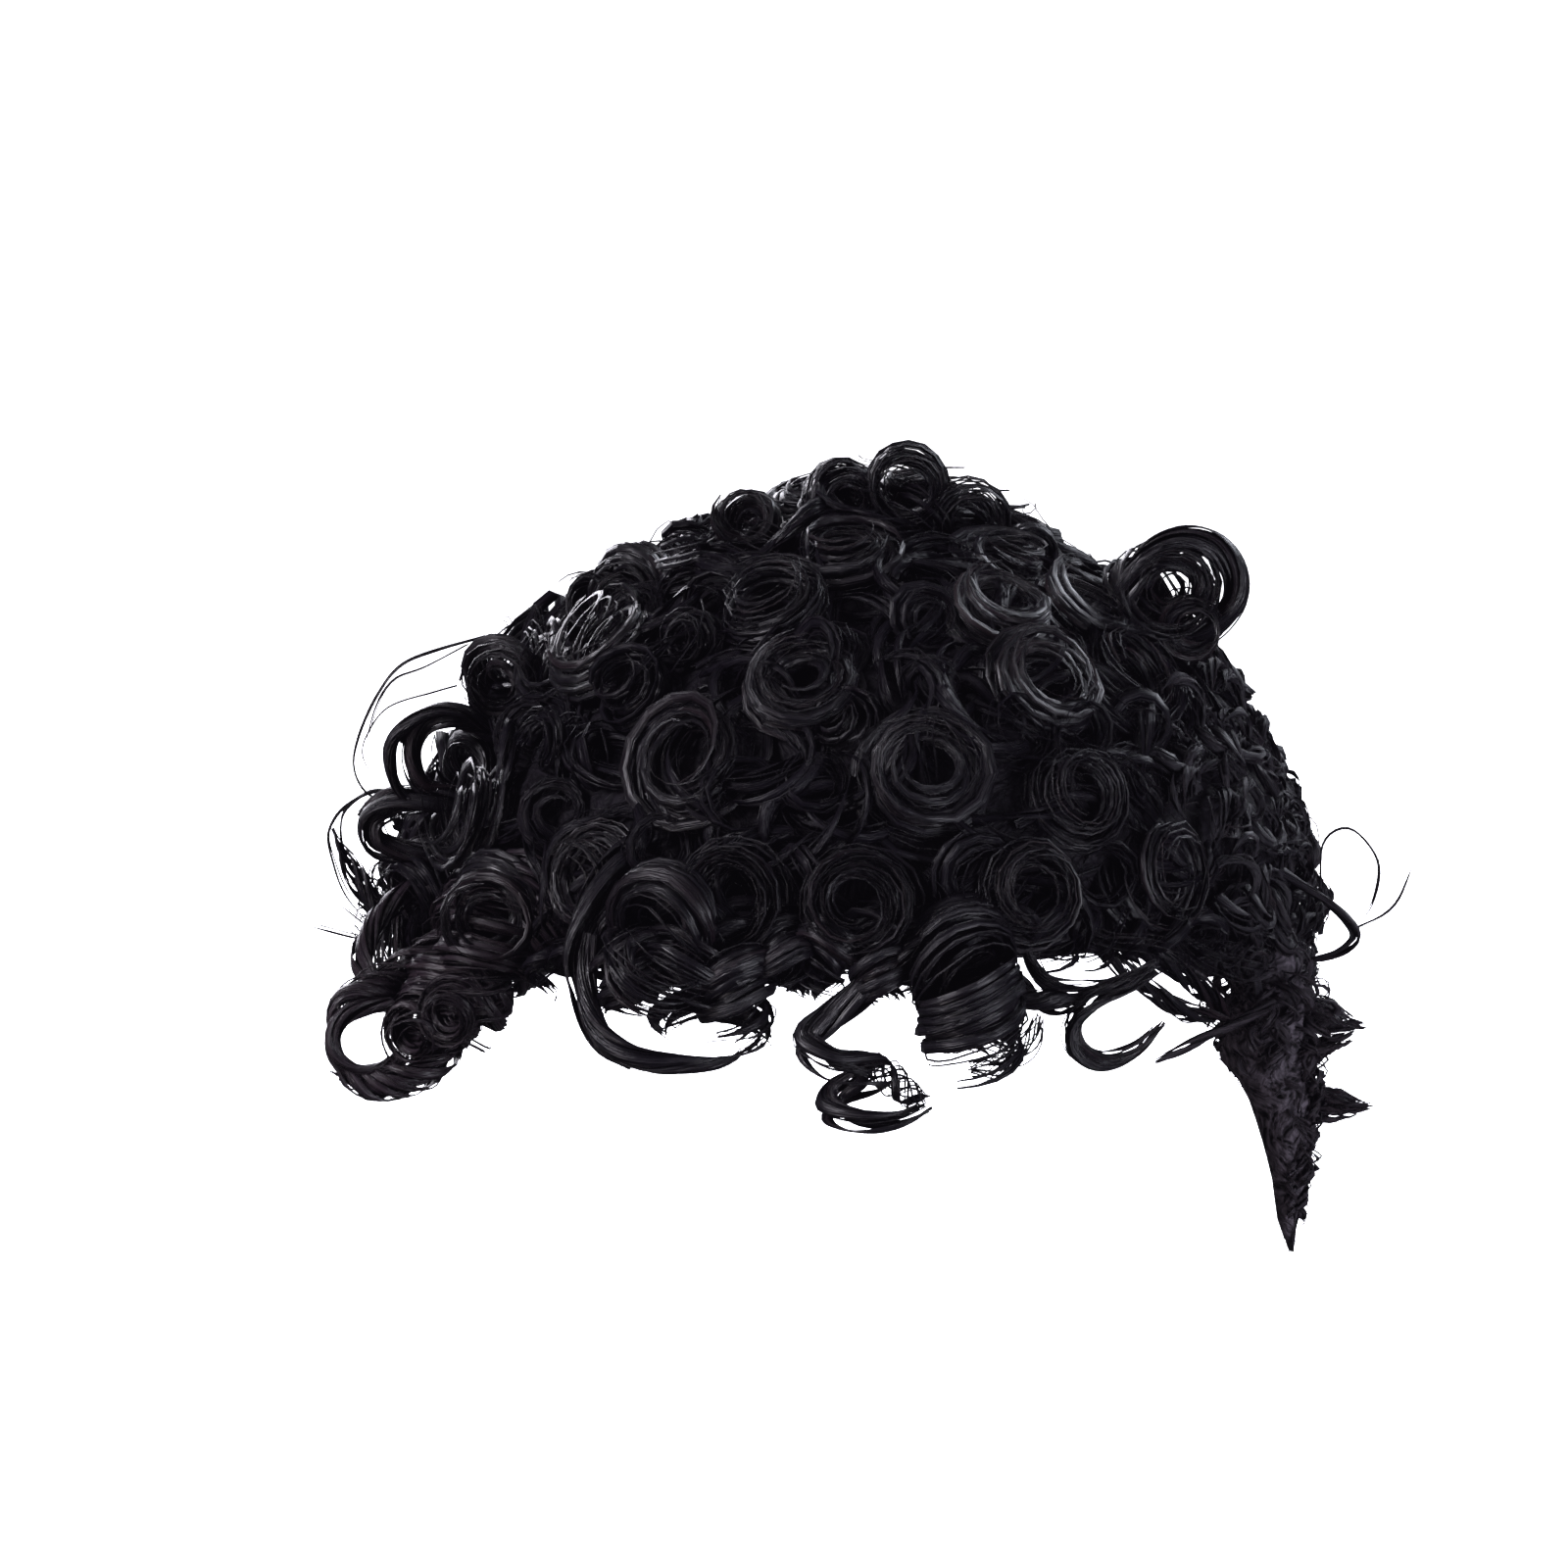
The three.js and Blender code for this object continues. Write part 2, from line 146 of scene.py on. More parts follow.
def addStudio(s):
    half = s["floorSize"] / 2
    low = -s["floorBelow"]
    corners = [(-half, -half, low), (half, -half, low), (half, half, low), (-half, half, low)]
    mesh = bpy.data.meshes.new("floor")
    mesh.from_pydata(corners, [], [(0, 1, 2, 3)])
    floor = linked("floor", mesh)
    paper, shader, _ = newMaterial("palePaper")
    setSockets(shader, {"Base Color": s["floorColour"], "Roughness": s["floorRoughness"],
                        "Emission Color": s["floorColour"], "Emission Strength": s["floorGlow"]})
    floor.visible_diffuse = False  # its light stays off the hair
    floor.visible_glossy = False
    mesh.materials.append(paper)
    world = bpy.data.worlds.new("studio")
    world.use_nodes = True
    sky = world.node_tree.nodes["Background"]
    setSockets(sky, {"Color": s["worldColour"], "Strength": s["worldStrength"]})
    scene = bpy.context.scene
    scene.world = world
    scene.view_settings.view_transform = "Standard"
    scene.view_settings.use_curve_mapping = True
    scene.view_settings.curve_mapping.black_level = s["filmBlack"]
    scene.view_settings.curve_mapping.update()
    for name, place, size, watts, colour in lamps:
        data = bpy.data.lights.new(name, "AREA")
        data.size = size
        data.energy = watts
        data.color = colour
        lamp = linked(name, data)
        lamp.location = place
        aim = Vector(s["lampAim"]) - Vector(place)
        lamp.rotation_euler = aim.to_track_quat("-Z", "Y").to_euler()


addStudio(studio)
print("studio lit with", len(lamps), "lamps")


# the scalp that the cap sits on, in millimetres and degrees, as in the part's source
head = {"halfWidth": 76, "halfLength": 96, "crownHeight": 92, "fullness": 2.3, "sideDropPerDegree": 1.6,
        "neckTaper": 0.09, "neckSpan": 32, "capWall": 1.6, "flatTop": 2, "normalStep": 0.5}
rimLine = [(0, 69), (40, 71), (66, 79), (95, 86), (130, 88), (180, 90)]  # round, down
reachLine = [  # down, then reach of the curls to the front, wearer's right, back and left
    (0, 38, 38, 38, 38),
    (17, 32, 31, 30, 24),
    (36, 32, 32, 30, 22),
    (56, 31, 38, 29, 22),
    (76, 27, 43, 27, 22),
    (100, 25, 38, 22, 19),
]


def eased(value, low, high):
    share = min(max((value - low) / (high - low), 0.0), 1.0)
    return share * share * (3 - 2 * share)


def between(rows, value):  # a value kept inside the rows, the two that it falls between, its share of the way
    value = min(max(value, rows[0][0]), rows[-1][0] - 0.01)
    a, b = next(pair for pair in zip(rows, rows[1:]) if value < pair[1][0])
    return value, a, b, (value - a[0]) / (b[0] - a[0])


def rimAt(turn):
    turn = abs((turn + 540) % 360 - 180)
    for (a, fromDown), (b, toDown) in zip(rimLine, rimLine[1:]):
        if turn <= b:
            return fromDown + (toDown - fromDown) * eased(turn, a, b)
    return rimLine[-1][1]


def reachAt(level, turn):
    level, a, b, share = between(reachLine, level)
    angle = math.radians(turn)
    facing = (math.cos(angle), -math.sin(angle), -math.cos(angle), math.sin(angle))
    return sum(max(f, 0) ** 2 * (p + (q - p) * share) for f, p, q in zip(facing, a[1:], b[1:]))


def scalp(level, turn):
    power = 2 / head["fullness"]
    upper = math.radians(min(level, 90))
    below = max(level - 90, 0)
    spread = math.sin(upper) ** power - head["neckTaper"] * (below / head["neckSpan"]) ** 2
    fall = head["crownHeight"] * (1 - max(math.cos(upper), 0) ** power) + head["sideDropPerDegree"] * below
    angle = math.radians(turn)
    x = head["halfWidth"] * spread * math.sin(angle)
    y = -head["halfLength"] * spread * math.cos(angle)
    return Vector((x, y, -fall))


def scalpNormal(level, turn):
    if level < head["flatTop"]:
        return Vector((0, 0, 1))
    step = head["normalStep"]
    along = scalp(level + step, turn) - scalp(level - step, turn)
    around = scalp(level, turn + step) - scalp(level, turn - step)
    return along.cross(around).normalized()


def overScalp(level, turn, height):
    return scalp(level, turn) + scalpNormal(level, turn) * height


def rowsDown(plan):  # rows of hair down the head: number, level, length once round
    level, last = plan["levels"]
    row = 0
    while level < last:
        width = overScalp(level, 90, plan["over"]).x
        depth = overScalp(level, 180, plan["over"]).y
        yield row, level, math.pi * (width + depth)
        level += plan["spacing"] / plan["mmPerLevel"]
        row += 1


crown = "crown_curls"
fringe = "fringe_curls"
side = "right_side_curls"
temple = "temple_lock"
crop = "left_crop"
burn = "left_sideburn"
rear = "back_curls"
nape = "nape_curls"
fields = {  # round from and to, level of the top and the bottom, in degrees
    crown: (-180, 180, 0, 46),
    fringe: (-48, 48, 46, 200),
    side: (-128, -48, 46, 200),
    crop: (48, 128, 46, 200),
    rear: (128, 232, 46, 76),
    nape: (128, 232, 76, 200),
}
firstTurn = -128  # turns are counted from here, so that no field but the crown is cut


def fieldOf(level, turn):
    turn = (turn - firstTurn) % 360 + firstTurn
    for name, (start, end, top, bottom) in fields.items():
        if top <= level < bottom and (end - start == 360 or start <= turn < end):
            return name


# main ringlets: field, level of the roots, width of the curl, places round the head, extra reach
ringletRows = [
    (crown, 3, 24, [112], -4),
    (crown, 9, 20, [-118], -5),
    (crown, 17, 22, [-14, 46, 130, 180], 0),
    (crown, 17, 20, [-84], -6),
    (crown, 27, 24, [-28, 26, 58], 0),
    (crown, 27, 20, [-122], -7),
    (crown, 39, 26, [-62, -16, 28, 52], 0),
    (crown, 39, 22, [-92], -6),
    (crown, 39, 22, [-152, 158], -8),
    (fringe, 50, 28, [-30, 5], 0),
    (fringe, 54, 23, [28], 0),
    (fringe, 64, 24, [-40, -20, -4, 18, 40], 0),
    (side, 52, 25, [-112], 0),
    (side, 63, 25, [-66], 0),
    (side, 71, 27, [-118], 0),
    (side, 80, 25, [-110, -86], -4),
    (rear, 55, 26, [143, 168, 193, 218], 0),
    (rear, 69, 26, [136, 158, 180, 202, 224], 0),
    (nape, 83, 23, [140, 160, 180, 200, 220], -2),
]
# styles of curl: how a guide line is wound with ribbons and strands; the last value is 1 for the lit look,
# lower for painted shade, a duller copy of the hair
ringlet = {"rootShare": 0.42, "pitchShare": 0.42, "bandShare": 0.3, "ribbons": 12, "strands": 14,
           "stepsPerTurn": 14, "rootOpen": 1.25, "tipClose": 0.7, "hollow": 0.36, "swing": 3.2,
           "frizz": 0.85, "tilt": 0.75, "taper": 0.72, "weight": 0.5, "fineness": 1.35, "litShare": 1.0}
fullCoil = dict(ringlet, ribbons=14, strands=11, stepsPerTurn=16, rootOpen=0.9, tipClose=0.85, hollow=0.3,
                swing=2.6, tilt=0.5, taper=0.85)
rope = dict(ringlet, bandShare=0.0, ribbons=9, strands=10, stepsPerTurn=30, rootOpen=0.8, tipClose=0.5,
            hollow=0.1, swing=6.3, frizz=0.25, tilt=0.0, taper=0.85)
thinRope = dict(rope, ribbons=6, strands=7, weight=0.4)
wisp = dict(thinRope, ribbons=1, strands=12, hollow=0.2, frizz=1.0)
# fillers, hairline curls and swags are given a low last value: painted shade, a duller copy of the hair
# between the main curls
filler = dict(ringlet, ribbons=6, strands=7, stepsPerTurn=12, rootOpen=1.2, hollow=0.35, frizz=1.0,
              weight=0.55, litShare=0.2)
hairline = dict(filler, ribbons=4, strands=6, rootOpen=0.7, tipClose=0.85)
swag = dict(ringlet, ribbons=4, strands=4, rootOpen=0.6, tipClose=0.8, hollow=0.2, swing=6.3, frizz=1.0,
            tilt=0.0, weight=0.55, litShare=0.15)
cropCurl = dict(ringlet, ribbons=2, strands=2, stepsPerTurn=9, rootOpen=0.8, hollow=0.4, frizz=0.7,
                weight=0.36)
cropSwag = dict(swag, ribbons=3, strands=3, weight=0.42, litShare=1.0)
loose = dict(ringlet, ribbons=0, strands=1, rootOpen=1.0, tipClose=1.0, hollow=1.0, swing=0.0, frizz=0.15,
             fineness=1.5)
# locks with a route of their own in millimetres: node, width of the curl, turns, style, route
# an end in the style is the side of its last turn where a lock stops, where that shows
routeLocks = [
    (fringe, 22, -1.8, dict(fullCoil, ribbons=18, end=(1, 0, 0.6)),
     [(-46, -96, -42), (-48, -110, -44), (-48, -112, -50), (-48, -108, -57.5)]),
    (fringe, 7, 0.8, dict(rope, ribbons=14, weight=0.5, tipClose=0.3),
     [(-50, -76, -30), (-59, -92, -37), (-64.3, -101, -49.6), (-63.6, -104, -57.6), (-62.6, -107, -63.8),
      (-59.6, -110, -69.2), (-54.1, -113, -72.7)]),
    (fringe, 4.5, 0.8, dict(rope, ribbons=12, weight=0.5, tipClose=0.3),
     [(-62, -102, -47), (-63.2, -104, -54), (-62.8, -108, -60), (-60.4, -112, -65.4), (-55, -116, -69.4),
      (-47.4, -118, -71.2), (-39, -118, -71.4), (-33, -115, -71), (-31, -112, -70.2)]),
    (fringe, 18, 1.8, fullCoil, [(-52, -90, -46), (-54, -103, -50), (-54, -106, -60.5)]),
    (fringe, 18, 2.0, fullCoil, [(-42, -95, -46), (-42, -107, -51), (-42, -108, -64.5)]),
    (fringe, 17, 2.2, fullCoil, [(-32, -98, -46), (-32, -109, -55), (-32, -109, -67)]),
    (fringe, 13, 1.8, fullCoil, [(-23, -99, -44), (-23, -108, -49), (-23, -109, -57)]),
    (fringe, 13, 1.8, fullCoil, [(-12, -100, -44), (-13, -109, -50), (-13, -110, -58)]),
    (fringe, 13, 1.8, fullCoil, [(-2, -100, -44), (-3, -109, -51), (-3, -110, -59)]),
    (fringe, 7.2, 1.0, dict(rope, ribbons=12),
     [(1, -106, -47), (-4, -112, -55), (-12, -113, -62), (-17.5, -116, -66.5), (-12, -120, -70.5),
      (-3, -116, -72.5), (-4.5, -110, -76), (-11, -108, -79.5), (-12.5, -112, -82), (-6, -117, -83.2),
      (2, -117, -82.8), (8, -114, -80.5)]),
    (fringe, 23, 2.4, dict(fullCoil, ribbons=22, strands=18, end=(1, 0, 0)),
     [(13.5, -100, -46), (16, -112, -54), (17.3, -113, -65), (17.8, -112, -72)]),
    (fringe, 11, 1.6, fullCoil, [(4, -100, -46), (4.5, -109, -51), (5, -110, -58)]),
    (fringe, 7, 1.2, wisp, [(-4, -112, -72), (0, -113, -75), (4.2, -113, -78), (8, -113, -80)]),
    (fringe, 6, 0.8, rope, [(22, -100, -54), (27, -102, -59), (34, -102, -61.5), (41, -101, -62)]),
    (fringe, 4.6, 0.8, dict(thinRope, ribbons=9),
     [(56, -97, -55), (50, -101, -57.5), (42.5, -103, -60.5), (38, -104, -65.5), (39, -104, -71.2),
      (44.5, -104, -73.8), (51, -103, -71.6), (57, -102, -65.5)]),
    (fringe, 3.6, 0.8, thinRope,
     [(36, -96, -42), (30, -100, -46), (29, -100, -52), (33, -101, -58), (43, -100, -59), (53, -97, -56)]),
    (fringe, 4.5, 0.8, thinRope,
     [(43, -86, -52), (49, -82, -58.5), (56, -77, -65), (63, -71, -71), (72, -60, -75)]),
    (fringe, 5, 0.8, rope, [(51.6, -86, -52.8), (60, -78, -59.9), (67.4, -68, -67.5), (71.6, -60, -73.4)]),
    (burn, 2.4, 0.6, dict(thinRope, ribbons=4, weight=0.3),
     [(82, -52, -73), (72.7, -62, -75.6), (64.3, -71, -77.7), (55.6, -78, -80)]),
    (crop, 2.4, 0.6, dict(thinRope, weight=0.3),
     [(84, -40, -47), (92.5, -41, -52.5), (97.5, -42, -57), (99.5, -42, -61), (96, -41, -64.5),
      (88, -40, -67)]),
    (temple, 13, 2.6, dict(fullCoil, hollow=0.1, ribbons=18, end=(1, 0, 0)),
     [(-80, -44, -50), (-88, -54, -62), (-96, -60, -70), (-100, -64, -74), (-101.5, -74, -76)]),
    (side, 23, 2.2, fullCoil, [(-74, -42, -46), (-81, -56, -49), (-84, -64, -51), (-85.3, -72, -51)]),
    (temple, 14, 2.0, fullCoil, [(-86, -56, -66), (-92, -66, -70), (-94.8, -76, -71)]),
    (temple, 22, 3.0, fullCoil, [(-78, -44, -46), (-87, -52, -57), (-92, -56, -68), (-97, -58, -79)]),
    (temple, 20, 2.4, fullCoil, [(-72, -54, -44), (-80, -60, -51), (-86, -62, -61), (-89, -62, -70.5)]),
    (temple, 14, 1.8, fullCoil, [(-68, -60, -46), (-73, -64, -54), (-76, -62, -63)]),
    (temple, 8, 1.2, dict(rope, ribbons=12),
     [(-94, -50, -60), (-103, -56, -65.5), (-110, -62, -67.5), (-115.5, -66, -70), (-117, -68, -76)]),
    (side, 5, 0.8, dict(thinRope, ribbons=10, taper=0.4, tipClose=0.2),
     [(-103, -16, -66), (-109, -14, -61), (-113.5, -13, -55), (-117, -12, -49), (-119, -11, -44)]),
    (temple, 9, 1.4, dict(rope, ribbons=14),
     [(-88, -60, -71), (-93, -65, -78.5), (-100, -68, -84.5), (-107.5, -69, -87), (-113, -69, -86),
      (-117, -69, -83)]),
    (temple, 3.6, 0.8, dict(rope, weight=0.48, tipClose=0.8),
     [(-105, -66, -70), (-110.6, -69, -70.2), (-115.2, -70, -72.4), (-117.4, -70, -76.6),
      (-116, -70, -81.2), (-111.7, -70, -84), (-106.4, -69, -83.4), (-102.6, -67, -80.4)]),
    (temple, 5, 0.8, rope,
     [(-100, -28, -52), (-108, -38, -57), (-111.5, -50, -63), (-109, -60, -69), (-103, -64, -74)]),
    (side, 4.2, 0.8, dict(rope, weight=0.5, tipClose=0.4),
     [(-84, -22, -22), (-87, -24, -18.8), (-91.7, -28, -16.3), (-96.9, -28, -15.8), (-101.1, -28, -18.2),
      (-103.9, -28, -21.5)]),
    (side, 2.6, 0.8, dict(thinRope, ribbons=9),
     [(-80, -16, -22), (-85.3, -26, -18.4), (-90, -30, -14.5), (-95.4, -30, -13.9), (-101.3, -30, -16.4),
      (-105.6, -30, -20.7), (-106.2, -30, -25.5), (-104.7, -30, -30.9), (-101.1, -30, -33.9),
      (-95, -28, -34.5)]),
    (side, 4.4, 0.8, dict(rope, weight=0.5, tipClose=0.9),
     [(-80, -14, -24), (-86.4, -24, -18.2), (-92.5, -28, -16), (-98, -28, -17.4), (-101, -28, -21.5),
      (-101.2, -28, -26.8), (-98.6, -28, -31.4), (-92, -26, -33.2)]),
    (side, 3, 0.8, thinRope, [(-88, -24, -33.5), (-100, -26, -32.8), (-108, -26, -34), (-113, -26, -38)]),
    (side, 6, 0.8, dict(rope, ribbons=13, weight=0.5, tipClose=0.9),
     [(-86, -18, -38), (-91.7, -26, -35.4), (-98, -28, -34.4), (-104.3, -28, -35.2), (-109.8, -28, -38.4),
      (-109.2, -28, -43.4), (-104.7, -28, -45.3), (-99, -28, -45.8), (-93, -26, -44)]),
    (side, 13, 1.8, fullCoil, [(-78, -2, -42), (-88, -14, -41), (-91.5, -26, -41)]),
    (side, 18, 2.0, fullCoil, [(-66, 0, -10), (-77, -6, -9), (-82, -14, -9.5), (-82.5, -26, -9.5)]),
    (side, 13, 1.8, fullCoil, [(-76, -2, -29), (-85, -14, -28), (-90.5, -27, -28.5)]),
    (side, 14, 1.8, fullCoil, [(-84, -6, -50), (-97, -14, -51), (-103, -28, -51.8)]),
    (side, 13, 1.8, fullCoil, [(-90, -6, -52), (-102, -14, -54), (-108.5, -24, -54.5)]),
    (temple, 14, 1.8, fullCoil, [(-80, -58, -62), (-87, -62, -70), (-90, -62, -77.3)]),
    (crown, 18, 2.0, fullCoil, [(-44, 6, 0), (-50, 2, 6), (-55, -6, 7.4), (-55, -16, 7)]),
    (crown, 13, 1.8, fullCoil, [(-50, 4, -4), (-59, -2, 4), (-64.5, -14, 7.5)]),
    (crown, 14, 1.8, fullCoil, [(-24, 6, 10), (-29, 0, 19), (-32, -14, 25)]),
    (crown, 16, 2.0, fullCoil, [(-7, 8, 14), (-9, 4, 23), (-9.5, -4, 28), (-9.5, -14, 28)]),
    (crown, 13, 1.8, fullCoil, [(26, 6, 8), (29, 0, 13.5), (30.5, -13, 16.5)]),
    (crown, 12, 1.8, fullCoil, [(34, 4, 0), (37, -2, 4), (39, -14, 5.5)]),
    (crown, 18, 2.0, fullCoil, [(13, 8, 12), (16, 2, 20), (17, -6, 23), (17, -16, 22.8)]),
    (crown, 6, 1.0, dict(rope, ribbons=18, tipClose=0.9),
     [(45, -14, -6), (48.4, -20, 2.1), (50.8, -22, 10), (55.6, -22, 17.4), (62.6, -21, 21),
      (69.6, -20, 19.6), (73.8, -20, 14.2), (74, -20, 7.8), (69.6, -19, 1.6), (64, -17, -1.8),
      (58, -14, -3)]),
    (crown, 23, 2.2, dict(fullCoil, hollow=0.2, ribbons=18, end=(0, 0, 1)),
     [(46, -6, -8), (54, -12, 4), (58.6, -18, 10), (59.6, -27, 11)]),
    (crown, 3.5, 0.8, dict(rope, tipClose=0.9),
     [(54.6, -22, 11.6), (57.8, -23, 15.8), (63, -23, 16.2), (66.6, -23, 12.7), (66.2, -23, 7.2)]),
    (crown, 15, 2.0, fullCoil, [(52, -6, -10), (60, -12, -2), (64, -18, 2), (65, -28, 3)]),
    (crown, 17, 2.0, dict(fullCoil, hollow=0.5, end=(1, 0, 0)),
     [(4, 8, 12), (5, 2, 26), (5, -8, 32), (5, -18, 32)]),
    (fringe, 6, 0.8, wisp,
     [(16.9, -112, -74), (23.2, -112, -72.6), (28.4, -112, -67.4), (30.6, -112, -61)]),
]
mainSeed = 3
fewestSteps = 8
midPoint = 6  # the point of a guide line that others keep clear of
hang = {"tipGap": 0.08, "bendAt": 0.6, "tipShare": 0.45, "sag": 0.05, "sagLower": 0.3}


def bezier(a, b, c, count=10):
    made = []
    for t in (i / count for i in range(count + 1)):
        made.append(a * (1 - t) ** 2 + b * (2 * t * (1 - t)) + c * t ** 2)
    return made


def smooth(points, count=6):  # a curve through the points
    path = [Vector(p) for p in points]
    path = [path[0] * 2 - path[1]] + path + [path[-1] * 2 - path[-2]]
    made = []
    for a, b, c, d in zip(path, path[1:], path[2:], path[3:]):
        for t in (i / count for i in range(count)):
            straight = 2 * b + (c - a) * t
            bow = (2 * a - 5 * b + 4 * c - d) * t ** 2
            sway = (3 * b - a - 3 * c + d) * t ** 3
            made.append(0.5 * (straight + bow + sway))
    return made + [path[-2]]


def endFrame(points):  # the frame that turns with a guide line, carried to its end without twist
    steps = [(b - a).normalized() for a, b in zip(points, points[1:])]
    normal = Vector((steps[0].y, -steps[0].x, 0)).normalized()
    for a, b in zip(steps, steps[1:]):
        normal = a.rotation_difference(b) @ normal
    return normal, steps[-1].cross(normal)


def guide(points, curl, turns, rng, style, steps=0):
    if "end" in style:
        end = Vector(style["end"])
        normal, across = endFrame(points)
        phase = math.atan2(end.dot(across), end.dot(normal)) - turns * 2 * math.pi
    else:
        turns *= rng.choice((-1, 1))
        phase = rng.random() * anyAngle
    steps = steps or max(fewestSteps, round(abs(turns) * style["stepsPerTurn"]))
    return dict(style, points=points, radius=curl / 2, turns=turns, phase=phase, steps=steps,
                band=curl * style["bandShare"])


def ringletAxis(level, turn, curl, reach, lean=None):
    normal = scalpNormal(level, turn)
    sunk = reachAt(level, turn) * ringlet["rootShare"]
    root = overScalp(level, turn, sunk)
    length = reach - sunk - curl * hang["tipGap"]
    bend = root + normal * length * hang["bendAt"]
    heading = normal.lerp(down, hang["sag"] + hang["sagLower"] * level / 90)
    if lean:
        heading += lean
    return bezier(root, bend, bend + heading.normalized() * length * hang["tipShare"]), length


def mainGuides():
    rng = random.Random(mainSeed)
    made = defaultdict(list)
    for field, level, curl, turns, extra in ringletRows:
        for turn in turns:
            axis, length = ringletAxis(level, turn, curl, reachAt(level, turn) + extra)
            rounds = length / (curl * ringlet["pitchShare"])
            made[field].append(guide(axis, curl, rounds, rng, ringlet))
    for node, curl, rounds, style, route in routeLocks:
        path = smooth(route)
        steps = len(path) if style["bandShare"] == 0 else 0
        made[node].append(guide(path, curl, rounds, rng, style, steps))
    return made


def evenly(rng, size):
    return rng.uniform(-size, size)


# short curls that hang over the rim, and tighter ones under the cropped side
hairlinePlan = {"round": (-176, 182, 6), "rimGap": 3, "sunk": 0.35, "fall": (7, 11), "frontFall": (10, 17),
                "frontFrom": -52, "frontTo": 16, "out": (7, 13), "curl": (9, 15), "turns": 1.8, "bulge": 11}
cropLine = {"beside": 1.5, "sunk": 0.5, "out": (2, 5), "fall": (5, 9), "curl": (5, 8), "turns": 1.6,
            "bulge": 6}


def addHairline(rng, made):
    p = hairlinePlan
    for turn in range(*p["round"]):
        level = rimAt(turn) - p["rimGap"]
        field = fieldOf(level, turn)
        root = overScalp(level, turn, reachAt(level, turn) * p["sunk"])
        out = scalpNormal(level, turn)
        inFront = p["frontFrom"] < turn < p["frontTo"]
        fall = rng.uniform(*p["frontFall" if inFront else "fall"])
        tip = root + out * rng.uniform(*p["out"]) + down * fall
        curl = rng.uniform(*p["curl"])
        if field != crop:
            axis = bezier(root, root + out * p["bulge"], tip)
            made[field].append(guide(axis, curl, p["turns"], rng, hairline))
            continue
        for at in (turn - cropLine["beside"], turn + cropLine["beside"]):
            root = overScalp(rimAt(at) - p["rimGap"], at, reachAt(level, at) * cropLine["sunk"])
            tip = root + out * rng.uniform(*cropLine["out"]) + down * rng.uniform(*cropLine["fall"])
            axis = bezier(root, root + out * cropLine["bulge"], tip)
            made[field].append(guide(axis, rng.uniform(*cropLine["curl"]), cropLine["turns"], rng, cropCurl))


# smaller curls between the main ones, set out in rows down the head
fillerPlan = {"seed": 7, "levels": (6.0, 96), "mmPerLevel": 1.95, "spacing": 18.0, "over": 22, "fewest": 3,
              "turnJitter": 0.2, "levelJitter": 2, "rimGap": 5, "clearOfMain": 11.0, "curl": (13.0, 20.0),
              "reach": (0.84, 0.97), "lean": ((-1, 1), (-1, 1), (-1, 0.6)), "pitchShare": 0.5}


def fillerGuides(main):
    p = fillerPlan
    rng = random.Random(p["seed"])
    taken = [g["points"][midPoint] for curls in main.values() for g in curls]
    made = defaultdict(list)

    def place(level, turn):
        field = fieldOf(level, turn)
        if field in (None, crop):
            return
        curl = rng.uniform(*p["curl"])
        reach = reachAt(level, turn) * rng.uniform(*p["reach"])
        lean = Vector([rng.uniform(*span) for span in p["lean"]])
        axis, length = ringletAxis(level, turn, curl, reach, lean)
        if min((axis[midPoint] - other).length for other in taken) > p["clearOfMain"]:
            taken.append(axis[midPoint])
            made[field].append(guide(axis, curl, length / (curl * p["pitchShare"]), rng, filler))

    for row, level, ring in rowsDown(p):
        count = max(p["fewest"], round(ring / p["spacing"]))
        for i in range(count):
            turn = (i + 0.5 * (row % 2) + evenly(rng, p["turnJitter"])) * 360 / count - 180
            if level < rimAt(turn) - p["rimGap"]:
                place(level + evenly(rng, p["levelJitter"]), turn)
    addHairline(rng, made)
    return made


# locks that lie between the curls and sweep round them
swagPlan = {"seed": 13, "levels": (8.0, 88), "mmPerLevel": 1.9, "spacing": 13.0, "over": 18, "fewest": 4,
            "levelJitter": 3, "rimGap": 4, "length": 36.0, "steps": 15, "bendRadius": 14.0,
            "bendRange": (0.6, 1.4), "curl": 7.0, "curlRange": (0.6, 1.3), "turns": 0.7, "low": 0.5,
            "high": 0.7, "rise": 0.1, "topLevel": 4, "edgeGap": 1, "leastRadius": 20, "backFrom": 110}
backSwagPlan = dict(swagPlan, spacing=17.0, seed=19)
cropSwagPlan = dict(swagPlan, spacing=7.4, length=18.0, bendRadius=5.0, curl=3.5, steps=10, low=0.76,
                    high=0.86, seed=17)


def swagGuides(plan, style, wanted, backOnly=False):
    rng = random.Random(plan["seed"])
    made = defaultdict(list)
    stride = plan["length"] / plan["steps"]
    for _, level, ring in rowsDown(plan):
        count = max(plan["fewest"], round(ring / plan["spacing"]))
        for i in range(count):
            turn = (i + rng.random()) * 360 / count - 180
            low = level + evenly(rng, plan["levelJitter"])
            field = fieldOf(low, turn)
            if low > rimAt(turn) - plan["rimGap"] or field not in wanted:
                continue
            if backOnly and abs(turn) < plan["backFrom"]:
                continue
            heading = rng.random() * anyAngle
            bend = rng.choice((-1, 1)) * rng.uniform(*plan["bendRange"]) / plan["bendRadius"]
            share = rng.uniform(plan["low"], plan["high"])
            points = []
            for k in range(plan["steps"] + 1):
                rise = share + plan["rise"] * math.sin(math.pi * k / plan["steps"])
                points.append(overScalp(low, turn, reachAt(low, turn) * rise))
                radius = max(overScalp(low, 90, plan["over"]).x, plan["leastRadius"])
                low += math.sin(heading) * stride / plan["mmPerLevel"]
                low = min(max(low, plan["topLevel"]), rimAt(turn) - plan["edgeGap"])
                turn += math.cos(heading) * stride / math.radians(radius)
                heading += bend * stride
            curl = plan["curl"] * rng.uniform(*plan["curlRange"])
            made[field].append(guide(points, curl, plan["turns"], rng, style, plan["steps"]))
    return made


